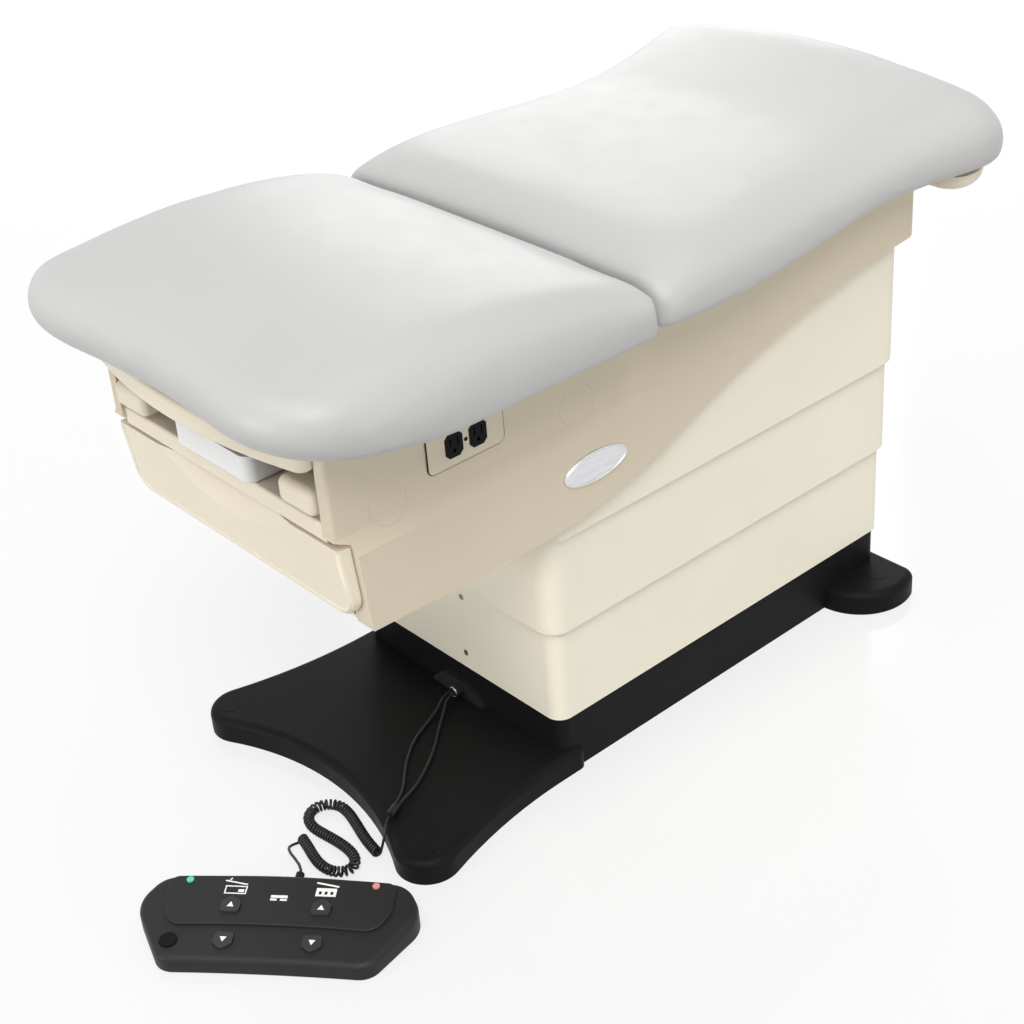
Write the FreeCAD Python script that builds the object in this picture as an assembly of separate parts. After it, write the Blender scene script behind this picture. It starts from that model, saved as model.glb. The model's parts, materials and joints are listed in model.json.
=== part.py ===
import FreeCAD, Part
import math
import os

# Electric examination table on a telescoping column, with its foot control.
# Millimetres. X runs across the table, Y towards the head, Z up from the floor.

os.makedirs("parts", exist_ok=True)
V = FreeCAD.Vector

# Lift travel, down and up from the height it stands at
lift_drop = 348.0
lift_rise = 77.0

# Base plate with its four lobes
plate_bottom = 0.0
plate_top = 38.0
plate_edge = 12.0
front_lobe_x = 226.0
front_lobe_y = -611.0
front_lobe_radius = 48.0
front_hollow_y = -602.0
front_side_x = 236.0
front_side_y = -365.0
front_foot_end = -314.0
rear_lobe_x = 223.0
rear_lobe_y = 318.0
rear_lobe_radius = 90.0
rear_edge_y = 370.0
rear_corner = 26.0
leveller_front = (front_lobe_x + 10.0, front_lobe_y - 15.0)
leveller_rear = (rear_lobe_x + 39.0, rear_lobe_y)
leveller_radius = 17.0
foot_radius = 22.0
foot_thick = 4.0

# Column shroud, three sections that nest upwards
shroud_half_width = 232.0
shroud_half_length = 360.0
shroud_step = 7.8
shroud_wall = 4.0
shroud_corner = 24.0
shroud_height = 217.0
lower_bottom = 99.0
middle_bottom = 255.0
upper_bottom = 411.0
run_gap = 0.4
lip_height = 8.0
seat_gap = 0.3
plinth_top = 240.0

# Lift column, three square stages
stage_half = 95.0
stage_wall = 5.0
stage_height = 270.0
flange_half = 125.0
control_clear = 20.0
control_length = 135.0
control_half = 160.0
motor_clear = 5.0
flange_thick = 8.0
spindle_radius = 14.0

# Carriage frame and the pans on it
frame_z = 682.0
frame_thick = 8.0
pan_rise = 26.0
pan_thick = 8.0
pan_z = frame_z + pan_rise

# Upper housing, clear of the shroud inside it
housing_wall = 8.0
housing_side_clear = 6.4
column_clear = 4.4
top_clear = 4.0
panel_thick = 34.0
storage_depth = 321.0
bulkhead_thick = 6.0
shoulder_drop = 39.0
shoulder_in = 13.0
shoulder_rise = 26.0
fade_ahead = 34.0
fade_length = 202.0
sweep_ahead = 22.0
sweep_radius = 700.0
sweep_angle = 23.0
compartment_height = 87.0
shelf_thick = 9.0
housing_half_width = shroud_half_width + 2 * shroud_step + housing_side_clear + housing_wall
housing_rear = shroud_half_length + 2 * shroud_step + column_clear + housing_wall
housing_top = pan_z - top_clear
bulkhead_y = housing_wall - housing_rear - bulkhead_thick
panel_front_y = bulkhead_y - storage_depth
panel_inner_x = housing_half_width - panel_thick
shelf_z = frame_z - compartment_height
shelf_under_z = shelf_z - shelf_thick
shoulder_z = shelf_z - shoulder_drop
fade_start = bulkhead_y + fade_ahead
fade_end = fade_start + fade_length
sweep_start_y = bulkhead_y - sweep_ahead

# Cushions
pad_half_width = 347.0
pad_overhang = 93.0
pad_rise = 117.0
pad_skirt = 4.0
pad_inset = 90.0
pan_front_inset = 97.0
crease_y = -231.0
crease_gap = 2.0
hinge_rise = 46.0
head_overhang = 126.0
pillow_rise = 15.0
back_fall = 38.0
waist_half_width = 316.0
waist_inset = 61.0
head_half_width = 342.0
head_inset = 24.0
nose_reach = 44.0
nose_tuck = 52.0
side_roll = 62.0
under_roll = 18.0
under_clear = 2.0
pad_front = panel_front_y - pad_overhang
pad_crown = pan_z + pad_rise
hinge_z = pan_z + hinge_rise
head_end = housing_rear + head_overhang
pillow_crown = pad_crown + pillow_rise

# Drawer, leg extension, treatment pan and stirrups
drawer_drop = 20.0
drawer_height = 108.0
drawer_side = 12.0
drawer_set_back = 4.0
drawer_lean = 13.0
drawer_thick = 18.0
drawer_taper = 4.0
drawer_clear = 0.8
drawer_box_gap = 14.0
bay_drop = 17.0
bay_thick = 5.0
scoop_half = 150.0
scoop_drop = 47.0
scoop_depth = 14.0
bumper_over = 5.0
bumper_bow = 30.0
bumper_ahead = 46.0
bumper_depth = 34.0
bumper_height = 34.0
slab_gap = 28.0
rail_width = 16.0
tray_half = 85.0
tray_ahead = 6.0
tray_back_gap = 44.0
tray_height = 42.0
stirrup_in = 38.0
stirrup_rise = 29.0
stirrup_bar = 18.0
drawer_top = shelf_under_z - drawer_drop
drawer_bottom = drawer_top - drawer_height
drawer_half = housing_half_width - drawer_side
drawer_front_y = panel_front_y + drawer_set_back
drawer_box_half = panel_inner_x - drawer_box_gap
bay_floor_z = drawer_bottom - bay_drop
panel_lower_z = bay_floor_z - bay_thick
bumper_half = panel_inner_x + bumper_over
bumper_front = panel_front_y - bumper_ahead
bumper_end = bumper_front + bumper_bow
bumper_top = pan_z - 1
bumper_bottom = bumper_top - bumper_height
slab_half = panel_inner_x - slab_gap
rail_x0 = panel_inner_x - rail_width
tray_front = panel_front_y - tray_ahead
tray_back = bulkhead_y - tray_back_gap
stirrup_x = panel_inner_x - stirrup_in
stirrup_z = shelf_z + stirrup_rise

# Back drive
hinge_tab_x = 144.0
tab_thick = 12.0
crank_radius = 118.0
crank_rest = 40.0
crank_pin = 6.0
rod_radius = 9.0
actuator_radius = 26.0
actuator_drop = 71.0
actuator_z = frame_z - actuator_drop
drive_set_back = 151.0
drive_length = 320.0

# Outlet, badge and caps on the side panel
outlet_y = panel_front_y + 212.0
outlet_z = shelf_z + 49.0
outlet_length = 124.0
outlet_height = 74.0
badge_y = bulkhead_y + 95.0
badge_z = shoulder_z - 44.0
badge_length = 115.0
badge_height = 46.0
cap_radius = 29.0
cap_places = [(bulkhead_y + 78.0, shoulder_z + 51.0), (panel_front_y + 85.0, shoulder_z + 44.0)]

# Foot control
pedal_x = 183.5
pedal_y = -837.0
pedal_turn = 41.0
pedal_front_half = 142.0
pedal_side_half = 198.0
pedal_front_v = -88.0
pedal_front_bow = 3.0
pedal_rear_v = 66.0
pedal_wide_v = 8.0
pedal_rear_in = 28.0
pedal_front_z = 25.0
pedal_rear_z = 40.5
pedal_side_round = 45.0
pedal_front_round = 30.0
pedal_rear_round = 38.0
pedal_edge = 10.0
pedal_floor = 2.0
deck_rise = 4.0
button_travel = 2.0
button_proud = 3.0
button_clear = 0.5

# Cord between the base and the foot control
wire = 4.0
lead_wire = 5.0
curl_radius = 6.2
curl_gap = 0.9
curl_z = 9.2


def box(x0, x1, y0, y1, z0, z1):
    return Part.makeBox(x1 - x0, y1 - y0, z1 - z0, V(x0, y0, z0))


def upright(shape):
    return [e for e in shape.Edges if abs(e.tangentAt(e.FirstParameter).z) > 0.999]


def rounded(x0, x1, y0, y1, z0, z1, r):
    block = box(x0, x1, y0, y1, z0, z1)
    return block.makeFillet(r, upright(block))


def soft_box(x0, x1, y0, y1, z0, z1, r):
    block = box(x0, x1, y0, y1, z0, z1)
    return block.makeFillet(r, block.Edges)


def ring(half_x, half_y, z0, z1, corner, wall):
    outer = rounded(-half_x, half_x, -half_y, half_y, z0, z1, corner)
    return outer.cut(rounded(wall - half_x, half_x - wall, wall - half_y, half_y - wall,
                             z0 - 1, z1 + 1, corner - wall))


def prism(points, axis):
    wire_ = Part.makePolygon([V(*p) for p in points] + [V(*points[0])])
    return Part.Face(wire_).extrude(axis)


def cylinder(point, axis, radius, length):
    return Part.makeCylinder(radius, length, V(*point), V(*axis))


def mirror(shape):
    return shape.mirror(V(0, 0, 0), V(1, 0, 0))


def both(shape):
    return Part.makeCompound([shape, mirror(shape)])


def fuse(shapes):
    return shapes[0].multiFuse(shapes[1:]).removeSplitter()


def top_edges(shape, z):
    return [e for e in shape.Edges if all(abs(v.Z - z) < 0.01 for v in e.Vertexes)]


def arc(a, b, c):
    return Part.Arc(V(*a), V(*b), V(*c)).toShape()


def line(a, b):
    return Part.makeLine(V(*a), V(*b))


def save(name, shape):
    shape.exportStep("parts/" + name + ".step")


# Base plate: the front foot is hollowed between its lobes, the rear one is two half-round ears
hollow_drop = front_lobe_y - front_hollow_y
hollow_radius = ((front_lobe_x ** 2 + hollow_drop ** 2 - front_lobe_radius ** 2)
                 / (2 * (front_lobe_radius - hollow_drop)))
side_shift = front_side_x - front_lobe_x
side_run = front_side_y - front_lobe_y
side_radius = ((side_shift ** 2 + side_run ** 2 - front_lobe_radius ** 2)
               / (2 * (front_lobe_radius - side_shift)))
lobe = V(front_lobe_x, front_lobe_y, 0)
hollow_centre = V(0, front_hollow_y - hollow_radius, 0)
side_centre = V(front_side_x + side_radius, front_side_y, 0)
join_front = lobe + (hollow_centre - lobe).normalize() * front_lobe_radius
join_side = lobe + (side_centre - lobe).normalize() * front_lobe_radius
outward = (join_front - lobe) + (join_side - lobe)
lobe_far = lobe + outward.normalize() * front_lobe_radius
hollow_mid = hollow_centre + V(front_lobe_x * 0.45, 0, 0)
hollow_mid.y += math.sqrt(hollow_radius ** 2 - hollow_mid.x ** 2)
side_mid = side_centre + (join_side - side_centre + V(front_side_x, front_side_y, 0)
                          - side_centre).normalize() * side_radius
front_start = (0, front_hollow_y, plate_bottom)
front_half = Part.Wire([
    arc(front_start, (hollow_mid.x, hollow_mid.y, plate_bottom), (join_front.x, join_front.y, plate_bottom)),
    arc((join_front.x, join_front.y, plate_bottom), (lobe_far.x, lobe_far.y, plate_bottom),
        (join_side.x, join_side.y, plate_bottom)),
    arc((join_side.x, join_side.y, plate_bottom), (side_mid.x, side_mid.y, plate_bottom),
        (front_side_x, front_side_y, plate_bottom)),
    line((front_side_x, front_side_y, plate_bottom), (front_side_x, front_foot_end - 14, plate_bottom)),
    arc((front_side_x, front_foot_end - 14, plate_bottom),
        (front_side_x - 4.1, front_foot_end - 4.1, plate_bottom),
        (front_side_x - 14, front_foot_end, plate_bottom)),
    line((front_side_x - 14, front_foot_end, plate_bottom), (0, front_foot_end, plate_bottom)),
    line((0, front_foot_end, plate_bottom), front_start)])
front_solid = Part.Face(front_half).extrude(V(0, 0, plate_top - plate_bottom))
front_foot = fuse([front_solid, mirror(front_solid)])
front_foot = front_foot.makeFillet(plate_edge, top_edges(front_foot, plate_top))
ear = cylinder((rear_lobe_x, rear_lobe_y, plate_bottom), (0, 0, 1), rear_lobe_radius, plate_top - plate_bottom)
ear = ear.common(box(0, 500, 0, rear_edge_y, 0, 100))
ear_x = rear_lobe_x + math.sqrt(rear_lobe_radius ** 2 - (rear_edge_y - rear_lobe_y) ** 2)
ear_corner = [e for e in upright(ear) if e.Vertexes[0].Y > rear_edge_y - 1 and e.Vertexes[0].X > rear_lobe_x]
ear = ear.makeFillet(rear_corner, ear_corner)
rear_foot = fuse([ear, mirror(ear), box(-rear_lobe_x, rear_lobe_x, rear_lobe_y - rear_lobe_radius,
                                        rear_edge_y, plate_bottom, plate_top)])
rear_foot = rear_foot.makeFillet(plate_edge, top_edges(rear_foot, plate_top))
plinth_half = shroud_half_width - shroud_wall - seat_gap
plinth_length = shroud_half_length - shroud_wall - seat_gap
web = box(-plinth_half, plinth_half, -plinth_length, plinth_length, plate_bottom, plate_top)
base_plate = fuse([front_foot, rear_foot, web])
leveller_places = [(s * x, y) for x, y in (leveller_front, leveller_rear) for s in (-1, 1)]
for x, y in leveller_places:
    base_plate = base_plate.cut(cylinder((x, y, 0), (0, 0, 1), 6.2, 50))
    base_plate = base_plate.cut(cylinder((x, y, 0), (0, 0, 1), foot_radius + seat_gap, foot_thick))
    base_plate = base_plate.cut(cylinder((x, y, plate_top - 3), (0, 0, 1), leveller_radius, 10))
save("base_plate", base_plate)

feet = []
caps = []
for x, y in leveller_places:
    pad = cylinder((x, y, 0), (0, 0, 1), foot_radius, foot_thick)
    stud = cylinder((x, y, foot_thick), (0, 0, 1), 6, plate_top - 3 - foot_thick)
    feet.append(pad.fuse(stud))
    caps.append(cylinder((x, y, plate_top - 3), (0, 0, 1), leveller_radius - 0.3, 3.4))
save("levelling_feet", Part.makeCompound(feet))
save("leveller_caps", Part.makeCompound(caps))

# Plinth skirt with an arched plate for the cord outlet
plinth = ring(plinth_half, plinth_length, plate_top, plinth_top, shroud_corner - shroud_wall, 5.0)
save("plinth_skirt", plinth)
arch_half = 58.0
arch_rise = 30.0
plinth_face = -plinth_length
arch_wire = Part.Wire([arc((-arch_half, plinth_face, plate_top), (0, plinth_face, plate_top + arch_rise),
                           (arch_half, plinth_face, plate_top)),
                       line((arch_half, plinth_face, plate_top), (-arch_half, plinth_face, plate_top))])
arch = Part.Face(arch_wire).extrude(V(0, -9, 0))
save("cord_outlet_plate", arch)
gland_y = plinth_face - 9
gland_z = plate_top + 13
gland_length = 12.0
gland = cylinder((8, gland_y, gland_z), (0, -1, 0), 10, gland_length)
save("cord_gland", gland.makeChamfer(2, [e for e in gland.Edges if e.Vertexes[0].Y < gland_y - 1]))

# Telescoping shroud: each section's lower lip runs on the one inside it
def section(level, z0, inner_half, inner_length):
    half = shroud_half_width + level * shroud_step
    length = shroud_half_length + level * shroud_step
    corner = shroud_corner + level * shroud_step
    shell = ring(half, length, z0, z0 + shroud_height, corner, shroud_wall)
    lip = rounded(-half + 1, half - 1, -length + 1, length - 1, z0, z0 + lip_height, corner - 1)
    shift = half - inner_half
    lip = lip.cut(rounded(-inner_half, inner_half, -inner_length, inner_length,
                          z0 - 1, z0 + lip_height + 1, corner - shift))
    return fuse([shell, lip])


lower = section(0, lower_bottom, plinth_half + seat_gap, plinth_length + seat_gap)
screw_head = 5.0
screw_sink = 2.2
screw_places = [(30.0, lower_bottom + 129.0), (28.0, lower_bottom + 27.0)]
for x, z in screw_places:
    lower = lower.cut(cylinder((x, -shroud_half_length - 5, z), (0, 1, 0), 2.6, 20))
    lower = lower.cut(Part.makeCone(screw_head, 2.6, screw_sink, V(x, -shroud_half_length, z), V(0, 1, 0)))
save("shroud_lower", lower)
save("shroud_middle", section(1, middle_bottom, shroud_half_width + run_gap, shroud_half_length + run_gap))
upper_inner = shroud_half_width + shroud_step + run_gap
upper_half = shroud_half_width + 2 * shroud_step
upper_length = shroud_half_length + 2 * shroud_step
upper_section = section(2, upper_bottom, upper_inner, shroud_half_length + shroud_step + run_gap)
upper_section = upper_section.cut(box(-400, 400, -500, fade_end, shoulder_z - 18, 800))
save("shroud_upper", upper_section)
screws = []
for x, z in screw_places:
    head = Part.makeCone(screw_head, 2.6, screw_sink, V(x, -shroud_half_length, z), V(0, 1, 0))
    shank = cylinder((x, -shroud_half_length + screw_sink, z), (0, 1, 0), 2.6, shroud_wall - screw_sink)
    screws.append(head.fuse(shank))
save("shroud_screws", Part.makeCompound(screws))

# Lift column: flange, three stages, spindle and motor
flange_top = plate_top + flange_thick
flange = box(-flange_half, flange_half, -flange_half, flange_half, plate_top, flange_top)
bolts = []
bolt_place = flange_half - 15
for x in (-bolt_place, bolt_place):
    for y in (-bolt_place, bolt_place):
        bolts.append(cylinder((x, y, flange_top), (0, 0, 1), 8, 6))
save("column_bolts", Part.makeCompound(bolts))


def stage(level, z0):
    half = stage_half - level * (stage_wall + run_gap)
    return ring(half, half, z0, z0 + stage_height, 14 - level * 2.5, stage_wall)


save("column_outer", fuse([flange, stage(0, flange_top)]))
save("column_middle", stage(1, flange_top + 5 + lift_drop / 2))
save("column_inner", stage(2, frame_z - stage_height))
spindle = cylinder((0, 0, flange_top), (0, 0, 1), spindle_radius, stage_height - 20)
save("lift_spindle", spindle)
motor_y = flange_half + motor_clear
motor = rounded(-60, 60, motor_y, motor_y + 85, plate_top, plate_top + 75, 12)
motor = fuse([motor, cylinder((0, motor_y + 42, plate_top + 70), (0, 0, 1), 34, 90)])
save("lift_motor", motor)
control_y = control_clear - plinth_length
save("control_box", rounded(-control_half, control_half, control_y, control_y + control_length,
                            plate_top, plate_top + 60, 8))


# Upper housing: two mirrored shells that meet at the middle of the rear wall
sweep = math.radians(sweep_angle)
sweep_mid = (sweep_start_y + sweep_radius * math.sin(sweep / 2),
             panel_lower_z + sweep_radius * (1 - math.cos(sweep / 2)))
sweep_end = (sweep_start_y + sweep_radius * math.sin(sweep),
             panel_lower_z + sweep_radius * (1 - math.cos(sweep)))
tail_angle = math.radians(4.0)
tail_radius = (housing_rear - sweep_end[0]) / (math.sin(sweep) - math.sin(tail_angle))
tail_half = (sweep + tail_angle) / 2
tail_mid = (sweep_end[0] + tail_radius * (math.sin(sweep) - math.sin(tail_half)),
            sweep_end[1] + tail_radius * (math.cos(tail_half) - math.cos(sweep)))
tail_end = (housing_rear, sweep_end[1] + tail_radius * (math.cos(tail_angle) - math.cos(sweep)))
back_slope = (drawer_lean - drawer_taper) / drawer_height


def drawer_back(z):
    return drawer_front_y + drawer_thick + (drawer_top - z) * back_slope


notch_z = drawer_top + 5
lower_front = (drawer_back(panel_lower_z + 6) + drawer_clear, panel_lower_z + 6)
notch_in = (drawer_back(notch_z) + drawer_clear, notch_z)
profile = [
    line((0, lower_front[0], lower_front[1]), (0, notch_in[0], notch_in[1])),
    line((0, notch_in[0], notch_in[1]), (0, panel_front_y, notch_z + 10)),
    line((0, panel_front_y, notch_z + 10), (0, panel_front_y, housing_top)),
    line((0, panel_front_y, housing_top), (0, housing_rear, housing_top)),
    line((0, housing_rear, housing_top), (0, tail_end[0], tail_end[1])),
    arc((0, tail_end[0], tail_end[1]), (0, tail_mid[0], tail_mid[1]), (0, sweep_end[0], sweep_end[1])),
    arc((0, sweep_end[0], sweep_end[1]), (0, sweep_mid[0], sweep_mid[1]), (0, sweep_start_y, panel_lower_z)),
    line((0, sweep_start_y, panel_lower_z), (0, lower_front[0], lower_front[1]))]
solid = Part.Face(Part.Wire(profile)).extrude(V(housing_half_width, 0, 0))
corner_edge = [e for e in upright(solid)
               if e.Vertexes[0].Y > housing_rear - 1 and e.Vertexes[0].X > housing_half_width - 1]
solid = solid.makeFillet(26, corner_edge)


# The panel steps in above the shoulder; the step fades out towards the head
def shoulder_face(y, depth):
    x0 = housing_half_width - depth
    x1 = housing_half_width + 2
    points = [V(x0, y, 800), V(x0, y, shoulder_z + shoulder_rise), V(x1, y, shoulder_z - depth * 0.3), V(x1, y, 800)]
    return Part.makePolygon(points + [points[0]])


shoulder = Part.makeLoft([shoulder_face(panel_front_y - 20, shoulder_in), shoulder_face(fade_start, shoulder_in)], True, True)
fade = Part.makeLoft([shoulder_face(fade_start, shoulder_in), shoulder_face(fade_end, 0.05)], True, True)
solid = solid.cut(shoulder).cut(fade)
column_room = box(-1, housing_half_width - housing_wall, bulkhead_y, housing_rear - housing_wall, 300, shoulder_z - 14)
column_room = column_room.fuse(box(-1, housing_half_width - shoulder_in - housing_wall, bulkhead_y,
                                   housing_rear - housing_wall, 300, 900))
column_room = column_room.fuse(box(-1, housing_half_width - housing_wall, fade_end - 15,
                                   housing_rear - housing_wall, 300, 900))
solid = solid.cut(column_room)
solid = solid.cut(box(-1, panel_inner_x, -900, bulkhead_y, 300, 900))
front_edges = [e for e in upright(solid) if e.Vertexes[0].Y < panel_front_y + 0.5]
solid = solid.makeFillet(6, [e for e in front_edges if e.Vertexes[0].X > panel_inner_x + 5])
plugs = []
for y, z in cap_places:
    bore = cylinder((housing_half_width - shoulder_in - 6, y, z), (1, 0, 0), cap_radius, 40)
    plug = cylinder((housing_half_width - shoulder_in - 6, y, z), (1, 0, 0), cap_radius - 0.15, 40)
    plugs.append(plug.common(solid))
    solid = solid.cut(bore)
right_shell = solid
save("panel_caps", Part.makeCompound([both(p) for p in plugs]))
left_shell = mirror(solid)
plate_x = housing_half_width - shoulder_in
pocket = box(plate_x - 6, plate_x + 9, outlet_y - 52, outlet_y + 52, outlet_z - 30, outlet_z + 26)
right_shell = right_shell.cut(pocket)
save("housing_shell_right", right_shell)
save("housing_shell_left", left_shell)

# Outlet on the right panel
outlet = box(plate_x, plate_x + 3, outlet_y - outlet_length / 2, outlet_y + outlet_length / 2,
             outlet_z - outlet_height / 2, min(outlet_z + outlet_height / 2, housing_top))
outlet = outlet.makeFillet(9, [e for e in outlet.Edges if abs(e.tangentAt(e.FirstParameter).x) > 0.99])
outlet = outlet.makeFillet(1.2, [e for e in outlet.Edges if all(v.X > plate_x + 2.9 for v in e.Vertexes)])
sockets = []
for y in (outlet_y - 20, outlet_y + 19):
    face = box(plate_x - 4, plate_x + 4.2, y - 14, y + 14, outlet_z - 25, outlet_z + 9)
    face = face.makeChamfer(6, [e for e in face.Edges if abs(e.tangentAt(e.FirstParameter).x) > 0.99])
    outlet = outlet.cut(face)
    for dy in (-6, 6):
        face = face.cut(box(plate_x, plate_x + 6, y + dy - 1, y + dy + 1, outlet_z - 8, outlet_z + 2))
    face = face.cut(cylinder((plate_x, y, outlet_z - 16), (1, 0, 0), 2.6, 6))
    sockets.append(face)
save("outlet_plate", outlet)
save("outlet_sockets", Part.makeCompound(sockets))

# Oval badge, left bare
badge = Part.Face(Part.Wire(Part.Ellipse(V(0, 0, 0), badge_length / 2, badge_height / 2).toShape()))
badge = badge.extrude(V(0, 0, 3))
badge = badge.makeFillet(1.5, [e for e in badge.Edges if e.BoundBox.ZMin > 2.9])
badge.rotate(V(0, 0, 0), V(1, 1, 1), 120)
badge.translate(V(housing_half_width, badge_y, badge_z))
save("badge", badge)

# Storage body between the shells: drawer bay, shelf and bulkhead
shelf_edge = panel_front_y + 5
inner = panel_inner_x - seat_gap
shelf = box(-inner, inner, shelf_edge, bulkhead_y, shelf_under_z, shelf_z)
fascia = box(-inner, inner, shelf_edge, shelf_edge + 12, notch_z, shelf_z)
fascia = fascia.makeFillet(4, [e for e in top_edges(fascia, shelf_z) if e.Vertexes[0].Y < shelf_edge + 1])
shelf = shelf.cut(box(-inner, inner, shelf_edge, shelf_edge + 12, 500, 700))
bulkhead = box(-inner, inner, bulkhead_y, bulkhead_y + bulkhead_thick, bay_floor_z, frame_z)
bay_floor = box(-inner, inner, lower_front[0] + 4, bulkhead_y, bay_floor_z, bay_floor_z + bay_thick)
save("storage_shelf", fuse([fascia, shelf]))
save("drawer_bay", fuse([bulkhead, bay_floor]))

# Carriage frame: top plate on the column, side rails under the seat pan
frame_top = frame_z + frame_thick
rear_inner = housing_half_width - shoulder_in - housing_wall - seat_gap
frame_front = bumper_end + bumper_depth + 3
frame_step = bulkhead_y + bulkhead_thick
frame = fuse([box(-inner, inner, frame_front, frame_step, frame_z, frame_top),
              box(-rear_inner, rear_inner, frame_step, housing_rear - housing_wall - seat_gap, frame_z, frame_top)])
for s in (-1, 1):
    rail = box(rail_x0, inner, frame_front, crease_y - 24, frame_top, pan_z)
    rail = rail if s > 0 else mirror(rail)
    frame = frame.fuse(rail)
crank_rad = math.radians(crank_rest)
pin_y = crease_y - crank_radius * math.sin(crank_rad)
pin_z = hinge_z - crank_radius * math.cos(crank_rad)
tab_in = hinge_tab_x - tab_thick / 2
tab_out = hinge_tab_x + tab_thick / 2
crank_in = tab_out + 0.5
crank_out = crank_in + tab_thick
yoke_in = crank_out + 3
yoke_out = yoke_in + 9
slot_front = pin_y - 24
slot_rear = 2 * crease_y - pin_y + 24
crank_room = box(crank_in - 3, yoke_out + 4, slot_front, slot_rear, frame_z - 1, frame_top + 1)
frame = frame.cut(crank_room)
left_room = box(-crank_out - 3, -crank_in + 3, crease_y - 20, slot_rear, frame_z - 1, frame_top + 1)
frame = frame.cut(left_room).removeSplitter()

# Hinge tabs stand on the frame and hold the pins in the crease between the cushions
tab_radius = 5.0
pin_radius = 2.5
tabs = []
pins = []
for s in (-1, 1):
    tab = fuse([box(tab_in, tab_out, crease_y - tab_radius, crease_y + tab_radius, frame_top, hinge_z),
                cylinder((tab_in, crease_y, hinge_z), (1, 0, 0), tab_radius, tab_thick),
                box(tab_in - 16, tab_out, crease_y - 22, crease_y + 22, frame_top, frame_top + 8)])
    tab = tab.cut(cylinder((tab_in - 20, crease_y, hinge_z), (1, 0, 0), pin_radius, 60))
    pin = cylinder((tab_in - 1, crease_y, hinge_z), (1, 0, 0), pin_radius, crank_out - tab_in + 2)
    tabs.append(tab if s > 0 else mirror(tab))
    pins.append(pin if s > 0 else mirror(pin))
frame = fuse([frame] + tabs)
save("carriage_frame", frame)
save("hinge_pins", Part.makeCompound(pins))

# Seat pan and rubber stops for the back
seat_pan_half = pad_half_width - pad_inset
seat_pan = rounded(-seat_pan_half, seat_pan_half, pad_front + pan_front_inset, crease_y - 24,
                   pan_z, pan_z + pan_thick, 60)
save("seat_pan", seat_pan)
stop_x = panel_inner_x - 38
stop_places = [(x, y) for x in (-stop_x, stop_x) for y in (60, housing_rear - 88)]
save("back_stops", Part.makeCompound([cylinder((x, y, frame_top), (0, 0, 1), 14, pan_z - frame_top - seat_gap)
                                      for x, y in stop_places]))


# Seat cushion: lengthwise sections with a tucked nose and one long crown, lofted across the table
pad_bottom = pan_z + pan_thick
skirt_z = pan_z - pad_skirt
seat_end = crease_y - crease_gap
crease_top = hinge_z + 1
pad_middle = pad_bottom + 32
peak_y = (pad_front + seat_end) / 2 + 16


def seat_section(across, height, under, set_back):
    x = across * pad_half_width
    front = pad_front + set_back
    nose_top = (x, front + nose_reach, pad_middle + (pad_crown - 17 - pad_middle) * height)
    nose = (x, front, pad_middle + 16 * height)
    nose_low = (x, front + nose_tuck, pad_middle - (pad_middle - pad_bottom - 5) * under)
    skirt = (x, front + 2.6 * nose_tuck, pad_middle - (pad_middle - skirt_z - 3) * under)
    crease_low = (x, seat_end, pad_middle - (pad_middle - skirt_z) * under)
    crease = (x, seat_end, pad_middle + (crease_top - pad_middle) * height)
    peak = (x, peak_y, pad_middle + (pad_crown - pad_middle) * height)
    upper = (x, front + 0.25 * nose_reach, nose[2] + 0.7 * (nose_top[2] - nose[2]))
    lower = (x, front + 0.25 * nose_tuck, nose[2] - 0.68 * (nose[2] - nose_low[2]))
    return Part.Wire([line(nose_low, skirt), line(skirt, crease_low), line(crease_low, crease),
                      arc(crease, peak, nose_top), arc(nose_top, upper, nose), arc(nose, lower, nose_low)])


# Share of the half width, share of the height above and below the middle, set back of the front
seat_half_rows = [
    (0.00, 1.000, 1.00, 15), (0.32, 0.983, 1.00, 8), (0.55, 0.948, 1.00, 0), (0.72, 0.912, 1.00, 7),
    (0.85, 0.869, 1.00, 31), (0.93, 0.705, 1.00, 64), (0.97, 0.517, 0.93, 98), (0.99, 0.337, 0.69, 130),
    (1.00, 0.100, 0.15, 180)]
seat_rows = [(-a, h, u, s) for a, h, u, s in reversed(seat_half_rows[1:])] + seat_half_rows
seat_loft = Part.makeLoft([seat_section(*row) for row in seat_rows], True, False)

# Hollow under both cushions for the pans and the housing
under_half = max(housing_half_width, seat_pan_half) + under_clear
under_pads = box(-under_half, under_half, pad_front - 50, head_end + 50, skirt_z - 60, pad_bottom)
seat_pad = seat_loft.cut(under_pads)


# Back cushion: cross sections with full sides and a crowned top, lofted along the table
def cushion_section(y, half, bottom, top, crown):
    under = half - under_roll
    edge = half - side_roll
    side = bottom + (top - bottom) * 0.42
    low_x = half - 0.22 * under_roll
    low_z = side - 0.6 * (side - bottom)
    high_x = edge + 0.78 * side_roll
    high_z = side + 0.68 * (top - side)
    return Part.Wire([
        line((-under, y, bottom), (under, y, bottom)),
        arc((under, y, bottom), (low_x, y, low_z), (half, y, side)),
        arc((half, y, side), (high_x, y, high_z), (edge, y, top)),
        arc((edge, y, top), (0, y, top + crown), (-edge, y, top)),
        arc((-edge, y, top), (-high_x, y, high_z), (-half, y, side)),
        arc((-half, y, side), (-low_x, y, low_z), (-under, y, bottom))])


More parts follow.
